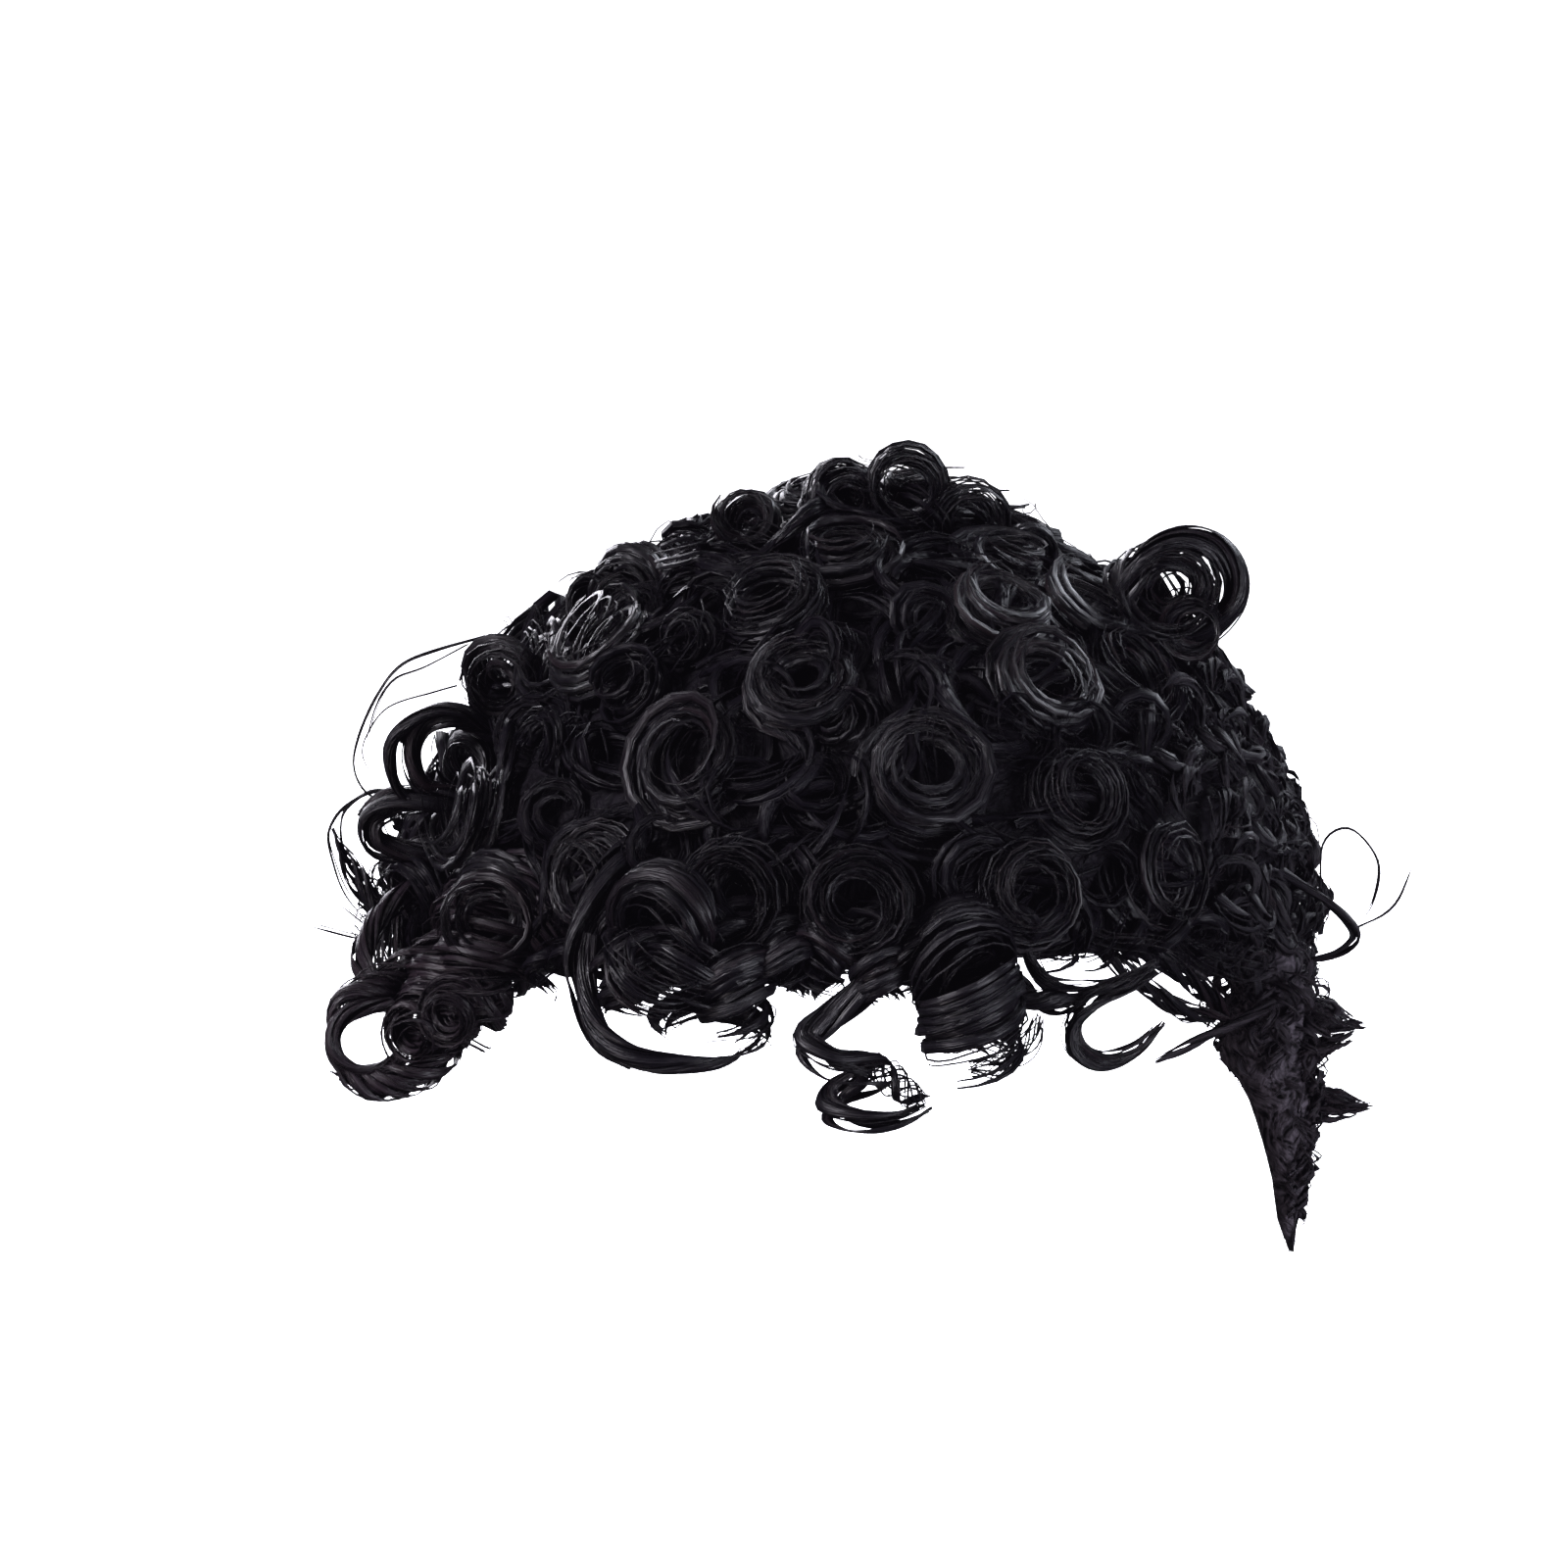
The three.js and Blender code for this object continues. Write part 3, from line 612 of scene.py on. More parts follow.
# close, tight curls of the cropped side
cropPlan = {"seed": 11, "levels": (47.0, 99), "mmPerLevel": 1.85, "spacing": 8.4, "over": 17,
            "round": (52, 130), "levelJitter": 1.6, "turnJitter": 0.3, "closer": 0.08,
            "closerRound": (58, 74), "reach": (0.84, 0.95), "lean": ((-0.5, 0.5), (-0.6, 0.6), (-0.9, 0.1)),
            "curl": (6.0, 11.0), "turns": 1.7, "turnsRange": (0.8, 1.2)}


def cropGuides():
    p = cropPlan
    rng = random.Random(p["seed"])
    made = []
    start, stop = p["round"]
    for row, level, ring in rowsDown(p):
        step = 360 * p["spacing"] / ring
        turn = start + step * 0.5 * (row % 2)
        while turn < stop:
            place = level + evenly(rng, p["levelJitter"])
            at = turn + evenly(rng, p["turnJitter"]) * step
            if place < rimAt(at):
                closer = 1 - p["closer"] * eased(at, *p["closerRound"])
                reach = reachAt(place, at) * rng.uniform(*p["reach"]) * closer
                lean = Vector([rng.uniform(*span) for span in p["lean"]])
                curl = rng.uniform(*p["curl"]) * closer ** 3
                axis, _ = ringletAxis(place, at, curl, reach, lean)
                made.append(guide(axis, curl, p["turns"] * rng.uniform(*p["turnsRange"]), rng, cropCurl))
            turn += step
    return made


# the sideburn's sections, as in the part's source
sideburnSections = [  # drop, middle x and y, width along the cheek and out from it
    (60, 80, -38, 32, 17),
    (71, 81, -38, 31, 24),
    (82, 81.5, -38, 28, 24),
    (88, 82, -38.5, 24, 22),
    (95, 84.5, -39, 17, 13),
    (104, 86.3, -40, 13, 11),
    (114, 86.4, -40, 8, 6.8),
    (123, 85.8, -41, 4.6, 4.0),
    (129.5, 86.3, -41, 1.2, 1.2),
]
sideburnFlicks = [(81, 103.5, 17.0, 24), (98, 106, 7.0, 16)]  # drop, x of the tip, width at the root, hairs
slant = 0.35  # how far the sections lean in to the face
burnLocks = {"seed": 21, "count": 84, "length": 15.0, "topGap": 2, "spare": 16, "crowding": 0.85,
             "angleStep": 2.4, "angleJitter": 0.3, "cheekSide": (-0.1, 0.6), "cheekDrop": (80, 94),
             "root": 0.55, "kneeAt": 0.4, "kneeJitter": 0.2, "knee": 0.98, "kneeClose": 0.14,
             "tipJitter": 0.5, "tip": 0.92, "tipClose": 0.08, "curl": 1.5, "topCurl": 5, "turns": 1.6}
burnPoint = {"hairs": 26, "length": 34, "share": 0.8, "curl": 0.8, "steps": 10}
flick = {"root": 0.4, "shorter": 7, "ragged": 2, "forward": 2, "gather": 0.25, "kneeAt": 0.6,
         "kneeSpread": 0.3, "curl": 1.0, "steps": 10}


def sideburnAt(drop, angle, share):
    drop, a, b, t = between(sideburnSections, drop)
    x, y, across, out = (p + (q - p) * t for p, q in zip(a[1:], b[1:]))
    along = math.cos(angle) * across / 2 * share
    return Vector((x + math.sin(angle) * out / 2 * share - along * slant, y + along, -drop))


def sideburnGuides():
    p = burnLocks
    rng = random.Random(p["seed"])
    made = []
    top = sideburnSections[0][0]
    end = sideburnSections[-1][0]
    for i in range(p["count"]):
        drop = top + p["topGap"] + (end - top - p["spare"]) * (i / p["count"]) ** p["crowding"]
        angle = i * p["angleStep"] + evenly(rng, p["angleJitter"])
        narrowing = 1 - (drop - top) / (end - top)
        length = p["length"] * (0.5 + 0.5 * narrowing)
        close = eased(-math.sin(angle), *p["cheekSide"]) * eased(drop, *p["cheekDrop"])  # a clean cheek edge
        root = sideburnAt(drop, angle, p["root"])
        kneeAngle = angle + evenly(rng, p["kneeJitter"])
        knee = sideburnAt(drop + length * p["kneeAt"], kneeAngle, p["knee"] - p["kneeClose"] * close)
        tip = sideburnAt(drop + length, angle + evenly(rng, p["tipJitter"]), p["tip"] - p["tipClose"] * close)
        curl = (p["curl"] + p["topCurl"] * narrowing) * (1 - 0.5 * close)
        made.append(guide(bezier(root, knee, tip), curl, p["turns"], rng, cropCurl))
    start = end - burnPoint["length"]
    for i in range(burnPoint["hairs"]):
        points = []
        for t in (0, 0.25, 0.5, 0.75, 1):
            share = burnPoint["share"] * (1 - t * 0.5)
            points.append(sideburnAt(start + burnPoint["length"] * t, i * p["angleStep"] + t, share))
        made.append(guide(points, burnPoint["curl"], 1.0, rng, cropCurl, burnPoint["steps"]))
    for drop, tipX, width, count in sideburnFlicks:
        for i in range(count):
            spread = Vector((0, evenly(rng, 0.5), evenly(rng, 0.5))) * width
            root = sideburnAt(drop, math.pi / 2, flick["root"]) + spread
            short = abs(spread.z) / width * 2  # the outer hairs are shorter, so the flick ends in a point
            x = tipX - short * flick["shorter"] - rng.uniform(0, flick["ragged"])
            tip = Vector((x, root.y - flick["forward"], -drop + spread.z * flick["gather"]))
            knee = root.lerp(tip, flick["kneeAt"]) + spread * flick["kneeSpread"]
            made.append(guide(bezier(root, knee, tip), flick["curl"], 1.0, rng, cropCurl, flick["steps"]))
    return made


# stray hairs along points listed in millimetres
strayHair = {"seed": 31, "rootSpread": 0.6, "tipSpread": 0.8, "curl": 0.2, "turns": 0.5}
strays = [  # node, hairs, spread, points
    (side, 4, 0.7,
     [(-86, -10, -2), (-96, -10, -5), (-104, -10, -8.5), (-109, -10, -15), (-113, -10, -24),
      (-114, -10, -31), (-110.5, -10, -37), (-102, -8, -39)]),
    (side, 2, 1.6,
     [(-92, -10, -13), (-97.6, -10, -14.7), (-106.2, -10, -17.5), (-110.4, -10, -22.6),
      (-111.9, -10, -28.5), (-108.3, -10, -34.9)]),
    (side, 2, 1.2,
     [(-90, -10, -4), (-99, -10, -9), (-106, -10, -12), (-110, -10, -19), (-112.5, -10, -30)]),
    (side, 4, 0.7,
     [(-104, -10, -36), (-111, -10, -36.5), (-117, -10, -40), (-120, -10, -45.5), (-119, -10, -51.5),
      (-116.5, -12, -58), (-112, -12, -64)]),
    (side, 3, 2.0,
     [(-106, -10, -36), (-111, -10, -36.4), (-116.1, -10, -40.7), (-116.7, -10, -46.5),
      (-114.6, -10, -53.2), (-109, -10, -59)]),
    (side, 3, 1.4, [(-104, -14, -69), (-115, -14, -67), (-126, -14, -64)]),
    (side, 3, 1.4, [(-106, -14, -70), (-112, -14, -65), (-119, -14, -60)]),
    (crop, 3, 0.8,
     [(92, -40, -51), (92.5, -40, -41), (98, -40, -38), (104, -40, -45), (103, -40, -54),
      (99.5, -40, -59)]),
    (crop, 3, 0.8, [(99, -40, -60), (107.5, -40, -55), (112, -40, -45)]),
    (fringe, 8, 5.0, [(36, -92, -44), (44, -94, -50), (52, -90, -52), (60, -82, -56)]),
    (fringe, 6, 4.0, [(60, -80, -52), (66, -74, -58), (72, -66, -62), (80, -56, -66)]),
]


def strayGuides():
    rng = random.Random(strayHair["seed"])
    made = defaultdict(list)
    for node, hairs, spread, points in strays:
        for i in range(hairs):
            off = Vector([evenly(rng, 0.5) for axis in "xyz"]) * spread
            path = smooth(points)
            count = len(path)
            path = [p + off * (strayHair["rootSpread"] + strayHair["tipSpread"] * k / count)
                    for k, p in enumerate(path)]
            made[node].append(guide(path, strayHair["curl"], strayHair["turns"], rng, loose, count))
    return made


# the curl tree: every guide line becomes ribbons and strands that wind round it
growth = {"Ribbon Width": 2.1 * mm, "Ribbon Depth": 0.42 * mm, "Strand Width": 0.16 * mm,
          "Ribbon Frizz": 2.0 * mm, "Strand Frizz": 4.5 * mm, "Frizz Scale": 90.0, "Wander": 6.0 * mm,
          "Wander Scale": 28.0, "Seed": 5}
hairKinds = [  # count and size on the guides, then width, depth and frizz, sides, scatter, first random lane
    ("ribbons", "weight", "Ribbon Width", "Ribbon Depth", "Ribbon Frizz", 4, 1.0, 0),
    ("strands", "fineness", "Strand Width", "Strand Width", "Strand Frizz", 3, 2.0, 20),
]
winding = {"turnSpread": 0.1, "openUntil": 0.3, "closeFrom": 0.6, "outermost": 1.03, "rootFrizz": 0.3,
           "frizzLanes": 40, "wanderLanes": 3, "leanSpread": 0.9, "tipWidth": 0.18, "thinnest": 0.6,
           "widthSpread": 0.8}
bakeStrip = {"across": 0.99, "halfWidth": 0.002, "margin": 0.004}  # each hair's strip of the bake
guideValues = ["radius", "turns", "phase", "steps", "ribbons", "strands", "band", "weight", "rootOpen",
               "tipClose", "hollow", "swing", "frizz", "tilt", "taper", "fineness", "litShare"]


def curlTree(material):
    tree = bpy.data.node_groups.new("curlGrowth", "GeometryNodeTree")
    tree.interface.new_socket("Guides", in_out="INPUT", socket_type="NodeSocketGeometry")
    for name, value in growth.items():
        kind = "NodeSocketInt" if isinstance(value, int) else "NodeSocketFloat"
        tree.interface.new_socket(name, in_out="INPUT", socket_type=kind)
    tree.interface.new_socket("Hair", in_out="OUTPUT", socket_type="NodeSocketGeometry")
    w = Wire(tree)
    given = w.make("NodeGroupInput")
    lines = w.make("GeometryNodeMeshToCurve", {"Mesh": given.out("Guides")})

    def read(name, kind="FLOAT"):
        return w.make("GeometryNodeInputNamedAttribute", {"Name": name}, data_type=kind)

    def vector(operation, first, second):
        key = 3 if operation == "SCALE" else 1
        return w.make("ShaderNodeVectorMath", {0: first, key: second}, operation=operation)

    def ramp(value, fromLow, fromHigh, toLow, toHigh):
        return w.make("ShaderNodeMapRange",
                      {0: value, 1: fromLow, 2: fromHigh, 3: toLow, 4: toHigh},
                      interpolation_type="SMOOTHSTEP")

    def keep(geometry, name, kind, value, domain="POINT"):
        return w.make("GeometryNodeStoreNamedAttribute",
                      {"Geometry": geometry, "Name": name, "Value": value}, data_type=kind, domain=domain)

    def cloud(place, lane, scale, size):
        puff = w.make("ShaderNodeTexNoise",
                      {"Vector": place, "W": lane, "Scale": scale, "Detail": 1.0}, "Color",
                      noise_dimensions="4D")
        return vector("SCALE", vector("SUBTRACT", puff, (0.5, 0.5, 0.5)), size)

    def polar(first, second, angle):  # a direction turned from the first towards the second
        return vector("ADD", vector("SCALE", first, w.sum("COSINE", angle)),
                      vector("SCALE", second, w.sum("SINE", angle)))

    def grow(countName, sizeName, width, depth, frizz, sides, scatter, lane):
        many = w.make("GeometryNodeDuplicateElements",
                      {"Geometry": lines, "Amount": read(countName)}, domain="SPLINE")
        fine = w.make("GeometryNodeResampleCurve", {"Curve": many, "Count": read("steps")}, mode="COUNT")
        number = w.make("GeometryNodeFieldOnDomain",
                        {0: w.make("GeometryNodeInputIndex")}, domain="CURVE", data_type="INT")

        def chance(k):
            return w.make("FunctionNodeRandomValue",
                          {2: 0.0, 3: 1.0, "ID": number, "Seed": given.out("Seed") + (lane + k)}, 1,
                          data_type="FLOAT")

        along = w.make("GeometryNodeSplineParameter")
        rounds = read("turns") * fullTurn * along * (1 + (chance(1) - 0.5) * winding["turnSpread"])
        angle = read("phase") + rounds + (chance(2) - 0.5) * read("swing") * scatter
        opening = ramp(along, 0.0, winding["openUntil"], read("rootOpen"), 1.0)
        closing = ramp(along, winding["closeFrom"], 1.0, 1.0, read("tipClose"))
        inside = read("hollow") + (winding["outermost"] - read("hollow")) * w.sum("SQRT", chance(3))
        radius = read("radius") * opening * closing * inside
        tangent = w.make("GeometryNodeInputTangent")
        normal = w.make("GeometryNodeInputNormal")
        outward = polar(normal, vector("CROSS_PRODUCT", tangent, normal), angle)
        place = w.make("GeometryNodeInputPosition")
        swirl = vector("ADD", place, vector("SCALE", outward, radius))
        growing = ramp(along, 0.0, 1.0, winding["rootFrizz"], 1.0) * read("frizz")
        ragged = cloud(swirl, chance(5) * winding["frizzLanes"], given.out("Frizz Scale"),
                       growing * given.out(frizz))
        bent = cloud(place, read("phase") * winding["wanderLanes"], given.out("Wander Scale"),
                     growing * given.out("Wander"))
        shift = vector("ADD", vector("SCALE", outward, radius),
                       vector("SCALE", tangent, (chance(4) - 0.5) * read("band")))
        shift = vector("ADD", shift, vector("ADD", ragged, bent))
        lean = read("tilt") + (chance(8) - 0.5) * winding["leanSpread"]
        taper = ramp(along, read("taper"), 1.0, 1.0, winding["tipWidth"])
        curve = keep(fine, "facing", "FLOAT_VECTOR", polar(outward, tangent, lean))
        curve = keep(curve, "strandAlong", "FLOAT", along)
        curve = keep(curve, "strandSeed", "FLOAT", chance(6))
        curve = keep(curve, "strandTaper", "FLOAT",
                     taper * (winding["thinnest"] + chance(7) * winding["widthSpread"]))
        curve = w.make("GeometryNodeSetPosition", {"Geometry": curve, "Offset": shift})
        curve = w.make("GeometryNodeSetCurveNormal",
                       {"Curve": curve, "Normal": read("facing", "FLOAT_VECTOR")}, mode="FREE")
        outline = w.make("GeometryNodeCurvePrimitiveCircle", {"Resolution": sides, "Radius": 1.0})
        outline = keep(outline, "strandSection", "FLOAT_VECTOR", w.make("GeometryNodeInputPosition"))
        size = w.make("ShaderNodeCombineXYZ", {"X": given.out(depth), "Y": given.out(width), "Z": 1.0})
        outline = w.make("GeometryNodeTransform", {"Geometry": outline, "Scale": size})
        scale = read("strandTaper") * read(sizeName)
        return w.make("GeometryNodeCurveToMesh", {"Curve": curve, "Profile Curve": outline, "Scale": scale})

    ribbons, strands = [grow(*kind) for kind in hairKinds]
    both = w.make("GeometryNodeJoinGeometry", {"Geometry": ribbons})
    strands.into(both.socket.node.inputs["Geometry"])
    hair = w.make("GeometryNodeSetShadeSmooth", {"Geometry": both})
    section = w.make("ShaderNodeSeparateXYZ", {0: read("strandSection", "FLOAT_VECTOR")})
    strip = section * bakeStrip["halfWidth"] + bakeStrip["margin"]
    flat = w.make("ShaderNodeCombineXYZ",
                  {"X": read("strandSeed") * bakeStrip["across"] + strip, "Y": read("strandAlong")})
    hair = keep(hair, "OFBake", "FLOAT2", flat, "CORNER")
    hair = w.make("GeometryNodeRealizeInstances", {"Geometry": hair})
    hair = w.make("GeometryNodeSetMaterial", {"Geometry": hair, "Material": material})
    result = tree.nodes.new("NodeGroupOutput")
    hair.into(result.inputs["Hair"])
    return tree


def setInputs(modifier, values):
    sockets = {item.name: item.identifier for item in modifier.node_group.interface.items_tree
               if item.item_type == "SOCKET" and item.in_out == "INPUT"}
    for name, value in values.items():
        modifier[sockets[name]] = value


# guide lines as a mesh of chains, with what each curl needs kept on its points
def guideObject(name, guides):
    points = []
    edges = []
    for g in guides:
        first = len(points)
        points += [p * mm for p in g["points"]]
        edges += [(first + i, first + i + 1) for i in range(len(g["points"]) - 1)]
    mesh = bpy.data.meshes.new(name)
    mesh.from_pydata(points, edges, [])
    scale = {"radius": mm, "band": mm}
    for key in guideValues:
        layer = mesh.attributes.new(key, "FLOAT", "POINT")
        layer.data.foreach_set("value", [g[key] * scale.get(key, 1) for g in guides for _ in g["points"]])
    return linked(name, mesh)


def growHair(name, guides, tree, node):
    piece = guideObject(name, guides)
    modifier = piece.modifiers.new("curls", "NODES")
    modifier.node_group = tree
    setInputs(modifier, growth)
    graph = bpy.context.evaluated_depsgraph_get()
    grown = piece.evaluated_get(graph)
    mesh = bpy.data.meshes.new_from_object(grown, preserve_all_data_layers=True, depsgraph=graph)
    piece.modifiers.clear()
    piece.data = mesh
    mesh.name = name
    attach(piece, "root")
    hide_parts(node)
    triangles = sum(len(p.vertices) - 2 for p in mesh.polygons)
    print(name, "grown:", len(guides), "curls,", triangles, "triangles")
    return triangles


def attribute(w, name, out="Fac"):
    return w.make("ShaderNodeAttribute", out=out, attribute_name=name)


def blend(w, share, first, second):  # two colours mixed
    return w.make("ShaderNodeMix", {"Factor": share, 6: first, 7: second}, 2, data_type="RGBA")


def addFinish(w, shader, look, height):  # bump and shine
    bump = w.make("ShaderNodeBump",
                  {"Strength": look["bump"], "Distance": look["depth"] * mm, "Height": height})
    bump.into(shader.inputs["Normal"])
    setSockets(shader, {"Roughness": look["roughness"], "Specular IOR Level": look["shine"]})
    return bump


# near-black hair: fine lines along each ribbon, a little brown towards the tips of some strands, and a copy
# with little shine that paints shade between the main curls
hairLook = {"dark": (0.0005, 0.0004, 0.0007, 1), "light": (0.0016, 0.0013, 0.002, 1),
            "warm": (0.0042, 0.0022, 0.0028, 1), "warmFrom": 0.7, "warmMost": 0.6,
            "roughness": 0.35, "roughSpread": 0.25, "shine": 0.072, "shadedCopyShine": 0.016,
            "bump": 0.9, "depth": 0.3, "lineStretch": (0.4, 0.65, 1.5), "lineLanes": 60,
            "lineScale": 5.0, "lineDetail": 2.0, "lineRange": (0.3, 0.7)}
cropLook = dict(hairLook, dark=(0.0014, 0.0012, 0.0017, 1), light=(0.006, 0.0054, 0.0066, 1),
                roughness=0.48, shine=0.035)
burnLook = dict(cropLook, dark=(0.0026, 0.0021, 0.0027, 1), light=(0.0106, 0.009, 0.0109, 1))
templeLook = dict(hairLook, dark=(0.001, 0.0007, 0.0011, 1), light=(0.0066, 0.0046, 0.0062, 1), shine=0.085)


def hairMaterial(name, look):
    material, shader, w = newMaterial(name)
    along = attribute(w, "strandAlong")
    seed = attribute(w, "strandSeed")
    section = w.make("ShaderNodeSeparateXYZ", {0: attribute(w, "strandSection", "Vector")})
    x, y, z = look["lineStretch"]
    across = w.make("ShaderNodeCombineXYZ", {"X": section * x, "Y": section.out("Y") * y, "Z": along * z})
    lines = w.make("ShaderNodeTexNoise",
                   {"Vector": across, "W": seed * look["lineLanes"], "Scale": look["lineScale"],
                    "Detail": look["lineDetail"]}, noise_dimensions="4D")
    low, high = look["lineRange"]
    lines = w.make("ShaderNodeMapRange", {0: lines, 1: low, 2: high})
    tone = blend(w, lines, look["dark"], look["light"])
    brown = w.make("ShaderNodeMapRange",
                   {0: seed, 1: look["warmFrom"], 2: 1.0, 3: 0.0, 4: look["warmMost"]})
    blend(w, brown * along, tone, look["warm"]).into(shader.inputs["Base Color"])
    rough = look["roughness"] + (lines - 0.5) * look["roughSpread"]
    rough.into(shader.inputs["Roughness"])
    bump = addFinish(w, shader, look, lines)
    # a duller copy of the hair with little shine: painted shade for the hair between the main curls
    shadedCopy = w.make("ShaderNodeBsdfPrincipled",
                  {"Base Color": tone, "Roughness": rough, "Normal": bump,
                   "Specular IOR Level": look["shadedCopyShine"]})
    litShare = attribute(w, "litShare")  # painted shade: low between the main curls, where the duller copy makes the hair read darker
    surface = w.make("ShaderNodeMixShader", {0: litShare, 1: shadedCopy, 2: Wire(w.tree, shader.outputs["BSDF"])})
    surface.into(w.tree.nodes["Material Output"].inputs["Surface"])
    return material


def solidPiece(name, points, faces, material):  # a smooth mesh from points in millimetres
    mesh = bpy.data.meshes.new(name)
    mesh.from_pydata([p * mm for p in points], [], faces)
    mesh.polygons.foreach_set("use_smooth", [True] * len(faces))
    mesh.materials.append(material)
    return linked(name, mesh)


# a closed shell from the crown to the rim, between two heights over the scalp
shells = {"capGrid": (96, 30), "rootGrid": (120, 44), "rootGap": 0.3, "weaveRound": 1.5, "weaveDown": 1.55}


def addShell(name, inner, outer, grid, material):
    columns, rows = grid
    points = []
    weave = []
    for height in (inner, outer):
        points.append(overScalp(0, 0, height(0, 0)))
        weave += [0.0, 0.0]
        for r in range(1, rows + 1):
            for c in range(columns):
                turn = 360 * c / columns
                level = rimAt(turn) * r / rows
                points.append(overScalp(level, turn, height(level, turn)))
                weave += [turn * shells["weaveRound"], level * shells["weaveDown"]]
    block = 1 + rows * columns
    faces = []

    def at(wall, r, c):
        return wall * block + (0 if r == 0 else 1 + (r - 1) * columns + c % columns)

    for c in range(columns):
        faces.append((at(1, 0, 0), at(1, 1, c), at(1, 1, c + 1)))
        faces.append((at(0, 0, 0), at(0, 1, c + 1), at(0, 1, c)))
        for r in range(1, rows):
            faces.append((at(1, r, c), at(1, r + 1, c), at(1, r + 1, c + 1), at(1, r, c + 1)))
            faces.append((at(0, r, c), at(0, r, c + 1), at(0, r + 1, c + 1), at(0, r + 1, c)))
        faces.append((at(1, rows, c), at(0, rows, c), at(0, rows, c + 1), at(1, rows, c + 1)))
    piece = solidPiece(name, points, faces, material)
    layer = piece.data.attributes.new("weave", "FLOAT2", "POINT")
    layer.data.foreach_set("vector", weave)
    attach(piece, "root")
    print(name, "laid:", len(faces), "faces")
    return piece


# matt black net of the cap: crossing threads on its own weave coordinates
netLook = {"thread": (0.009, 0.0085, 0.01, 1), "gap": (0.002, 0.002, 0.0025, 1), "threadsPerMm": 0.55,
           "depth": 0.3, "bump": 0.7, "roughness": 0.75, "shine": 0.2}


def netMaterial(look):
    material, shader, w = newMaterial("capNet")
    place = w.make("ShaderNodeSeparateXYZ", {0: attribute(w, "weave", "Vector")})
    u = place * (look["threadsPerMm"] * fullTurn)
    v = place.out("Y") * (look["threadsPerMm"] * fullTurn)
    threads = w.sum("MAXIMUM", w.sum("SINE", u + v), w.sum("SINE", u - v)) * 0.5 + 0.5
    blend(w, threads, look["gap"], look["thread"]).into(shader.inputs["Base Color"])
    addFinish(w, shader, look, threads)
    return material


# dark root hair that shows between the curls, its streaks on Object coordinates
rootLook = {"dark": (0.0004, 0.0003, 0.0005, 1), "light": (0.002, 0.0017, 0.0023, 1), "streaks": 300.0,
            "streakDetail": 3.0, "streakRange": (0.36, 0.64), "swirls": 60.0, "swirlDetail": 2.0,
            "swirlSize": (0.05, 0.05, 0.05), "bump": 0.9, "depth": 0.5, "roughness": 0.55, "shine": 0.015}
shortLook = dict(rootLook, dark=(0.0, 0.0, 0.0, 1), light=(0.02, 0.0173, 0.0208, 1), streaks=340.0)


def rootMaterial(name, look):
    material, shader, w = newMaterial(name)
    place = w.make("ShaderNodeTexCoord", out="Object")
    swirl = w.make("ShaderNodeTexNoise",
                   {"Vector": place, "Scale": look["swirls"], "Detail": look["swirlDetail"]}, "Color")
    bent = w.make("ShaderNodeVectorMath",
                  {0: swirl, 1: look["swirlSize"], 2: place}, operation="MULTIPLY_ADD")
    streaks = w.make("ShaderNodeTexNoise",
                     {"Vector": bent, "Scale": look["streaks"], "Detail": look["streakDetail"]})
    low, high = look["streakRange"]
    streaks = w.make("ShaderNodeMapRange", {0: streaks, 1: low, 2: high})
    blend(w, streaks, look["dark"], look["light"]).into(shader.inputs["Base Color"])
    addFinish(w, shader, look, streaks)
    return material


# how high the root hair stands: fuller and smoother under the cropped side, thin at the rim
rootHair = {"fill": 0.62, "cropFill": 0.83, "cropFrom": (36, 70), "cropTo": (120, 136), "cropDown": (28, 64),
            "lump": 4.0, "lumpScale": 0.06, "cropSmooth": 0.7, "rimThinning": 0.9, "thinFrom": 0.8,
            "least": 1.0}


def rootHeight(level, turn):
    p = rootHair
    around = (turn + 180) % 360 - 180
    cropped = eased(around, *p["cropFrom"]) * (1 - eased(around, *p["cropTo"])) * eased(level, *p["cropDown"])
    share = p["fill"] + (p["cropFill"] - p["fill"]) * cropped
    thin = 1 - p["rimThinning"] * eased(level / rimAt(turn), p["thinFrom"], 1.0)
    lump = noise.noise(scalp(level, turn) * p["lumpScale"]) * p["lump"] * (1 - p["cropSmooth"] * cropped)
    return max(head["capWall"] + p["least"], reachAt(level, turn) * share * thin + lump)


# a solid core under the sideburn's curls, full towards the cheek
core = {"share": 0.82, "topShare": 0.74, "fullerBy": 0.26, "fullerDrop": (78, 98), "cheek": 0.36,
        "cheekDrop": (76, 92), "sides": 20, "rings": 16, "tipGap": 2}


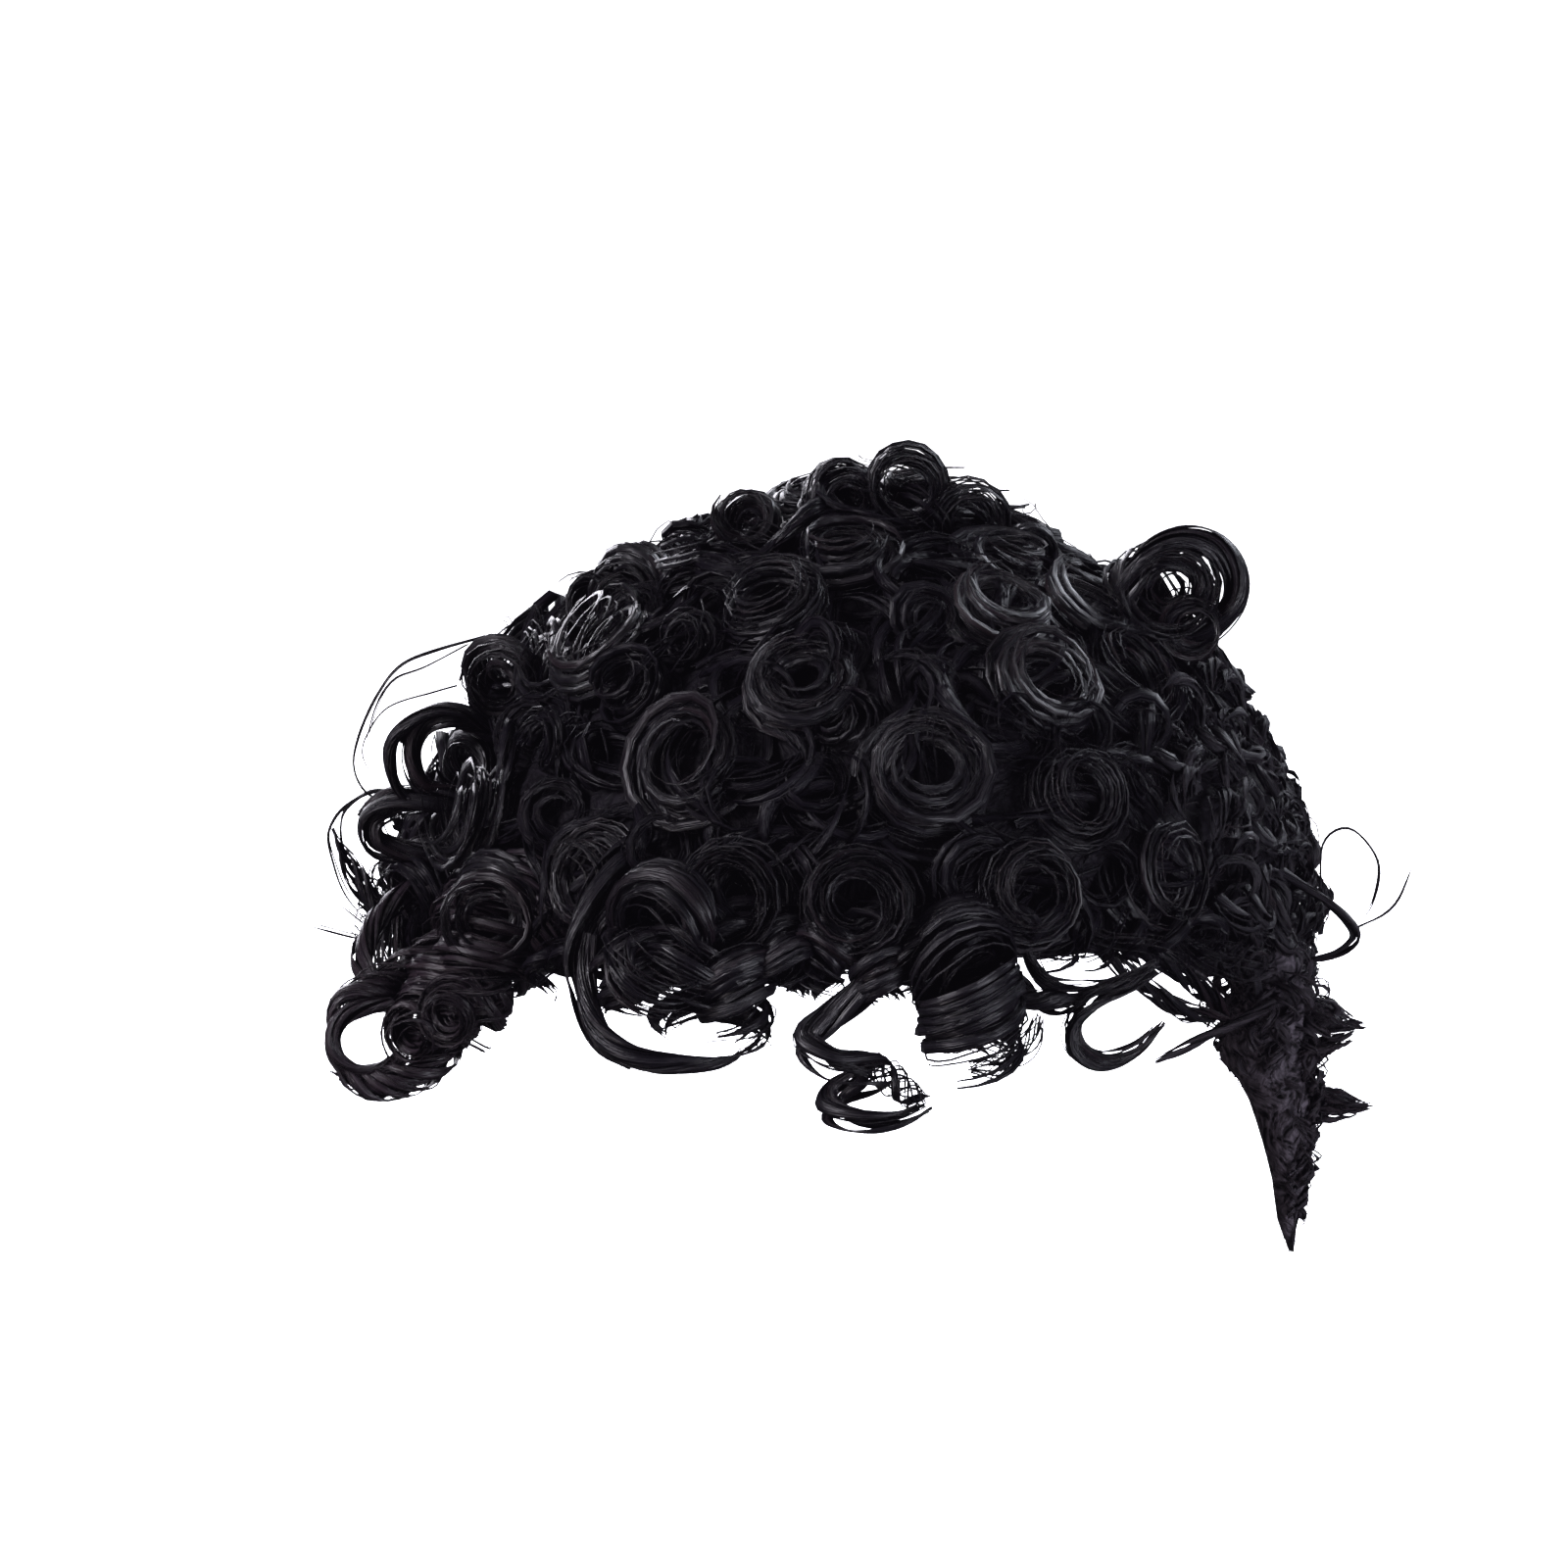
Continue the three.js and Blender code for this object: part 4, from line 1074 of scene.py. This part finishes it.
def addSideburnCore(material):
    sides = core["sides"]
    top = sideburnSections[0][0]
    end = sideburnSections[-1][0] - core["tipGap"]
    points = []
    for i in range(core["rings"] + 1):
        drop = top + (end - top) * i / core["rings"]
        share = core["share"] * (core["topShare"] + core["fullerBy"] * eased(drop, *core["fullerDrop"]))
        for k in range(sides):
            angle = 2 * math.pi * k / sides
            cheek = core["cheek"] * max(-math.sin(angle), 0) * eased(drop, *core["cheekDrop"])
            points.append(sideburnAt(drop, angle, share + cheek))
    faces = [tuple(range(sides)), tuple(reversed(range(len(points) - sides, len(points))))]
    for r in range(core["rings"]):
        for k in range(sides):
            a = r * sides + k
            b = r * sides + (k + 1) % sides
            faces.append((a, a + sides, b + sides, b))
    piece = solidPiece("sideburn_core", points, faces, material)
    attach(piece, "root")
    print("sideburn core laid")


hair = hairMaterial("blackHair", hairLook)
net = netMaterial(netLook)
roots = rootMaterial("rootHair", rootLook)
cap = addShell("net_cap", lambda level, turn: 0.0, lambda level, turn: head["capWall"], shells["capGrid"],
               net)
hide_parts("cap")
addShell("root_hair", lambda level, turn: head["capWall"] + shells["rootGap"], rootHeight,
         shells["rootGrid"], roots)
addSideburnCore(rootMaterial("shortHair", shortLook))

tree = curlTree(hair)
ownTrees = {crop: curlTree(hairMaterial("croppedHair", cropLook)),
            burn: curlTree(hairMaterial("sideburnHair", burnLook)),
            temple: curlTree(hairMaterial("templeHair", templeLook))}
curly = [name for name in fields if name != crop]
allGuides = mainGuides()
additions = [
    fillerGuides(allGuides),
    swagGuides(swagPlan, swag, curly),
    swagGuides(backSwagPlan, swag, curly, backOnly=True),
    swagGuides(cropSwagPlan, cropSwag, [crop]),
    {crop: cropGuides(), burn: sideburnGuides()},
    strayGuides(),
]
for more in additions:
    for node, guides in more.items():
        allGuides[node] += guides

# the hidden back is plainer, and the crown is two pieces: y in millimetres where each begins
behind = {"crownFrom": -8.0, "from": 10.0, "strandShare": 0.34, "stepShare": 0.78}
total = 0
for node, guides in allGuides.items():
    for g in guides:
        if g["points"][-1].y > behind["from"]:
            g["strands"] = round(g["strands"] * behind["strandShare"])
            g["steps"] = round(g["steps"] * behind["stepShare"])
    pieces = {"_hair": guides}
    if node == crown:
        pieces = {"_front_hair": [g for g in guides if g["points"][-1].y < behind["crownFrom"]],
                  "_back_hair": [g for g in guides if g["points"][-1].y >= behind["crownFrom"]]}
    for ending, part in pieces.items():
        total += growHair(node + ending, part, ownTrees.get(node, tree), node)
print("hair grown:", total, "triangles in all")
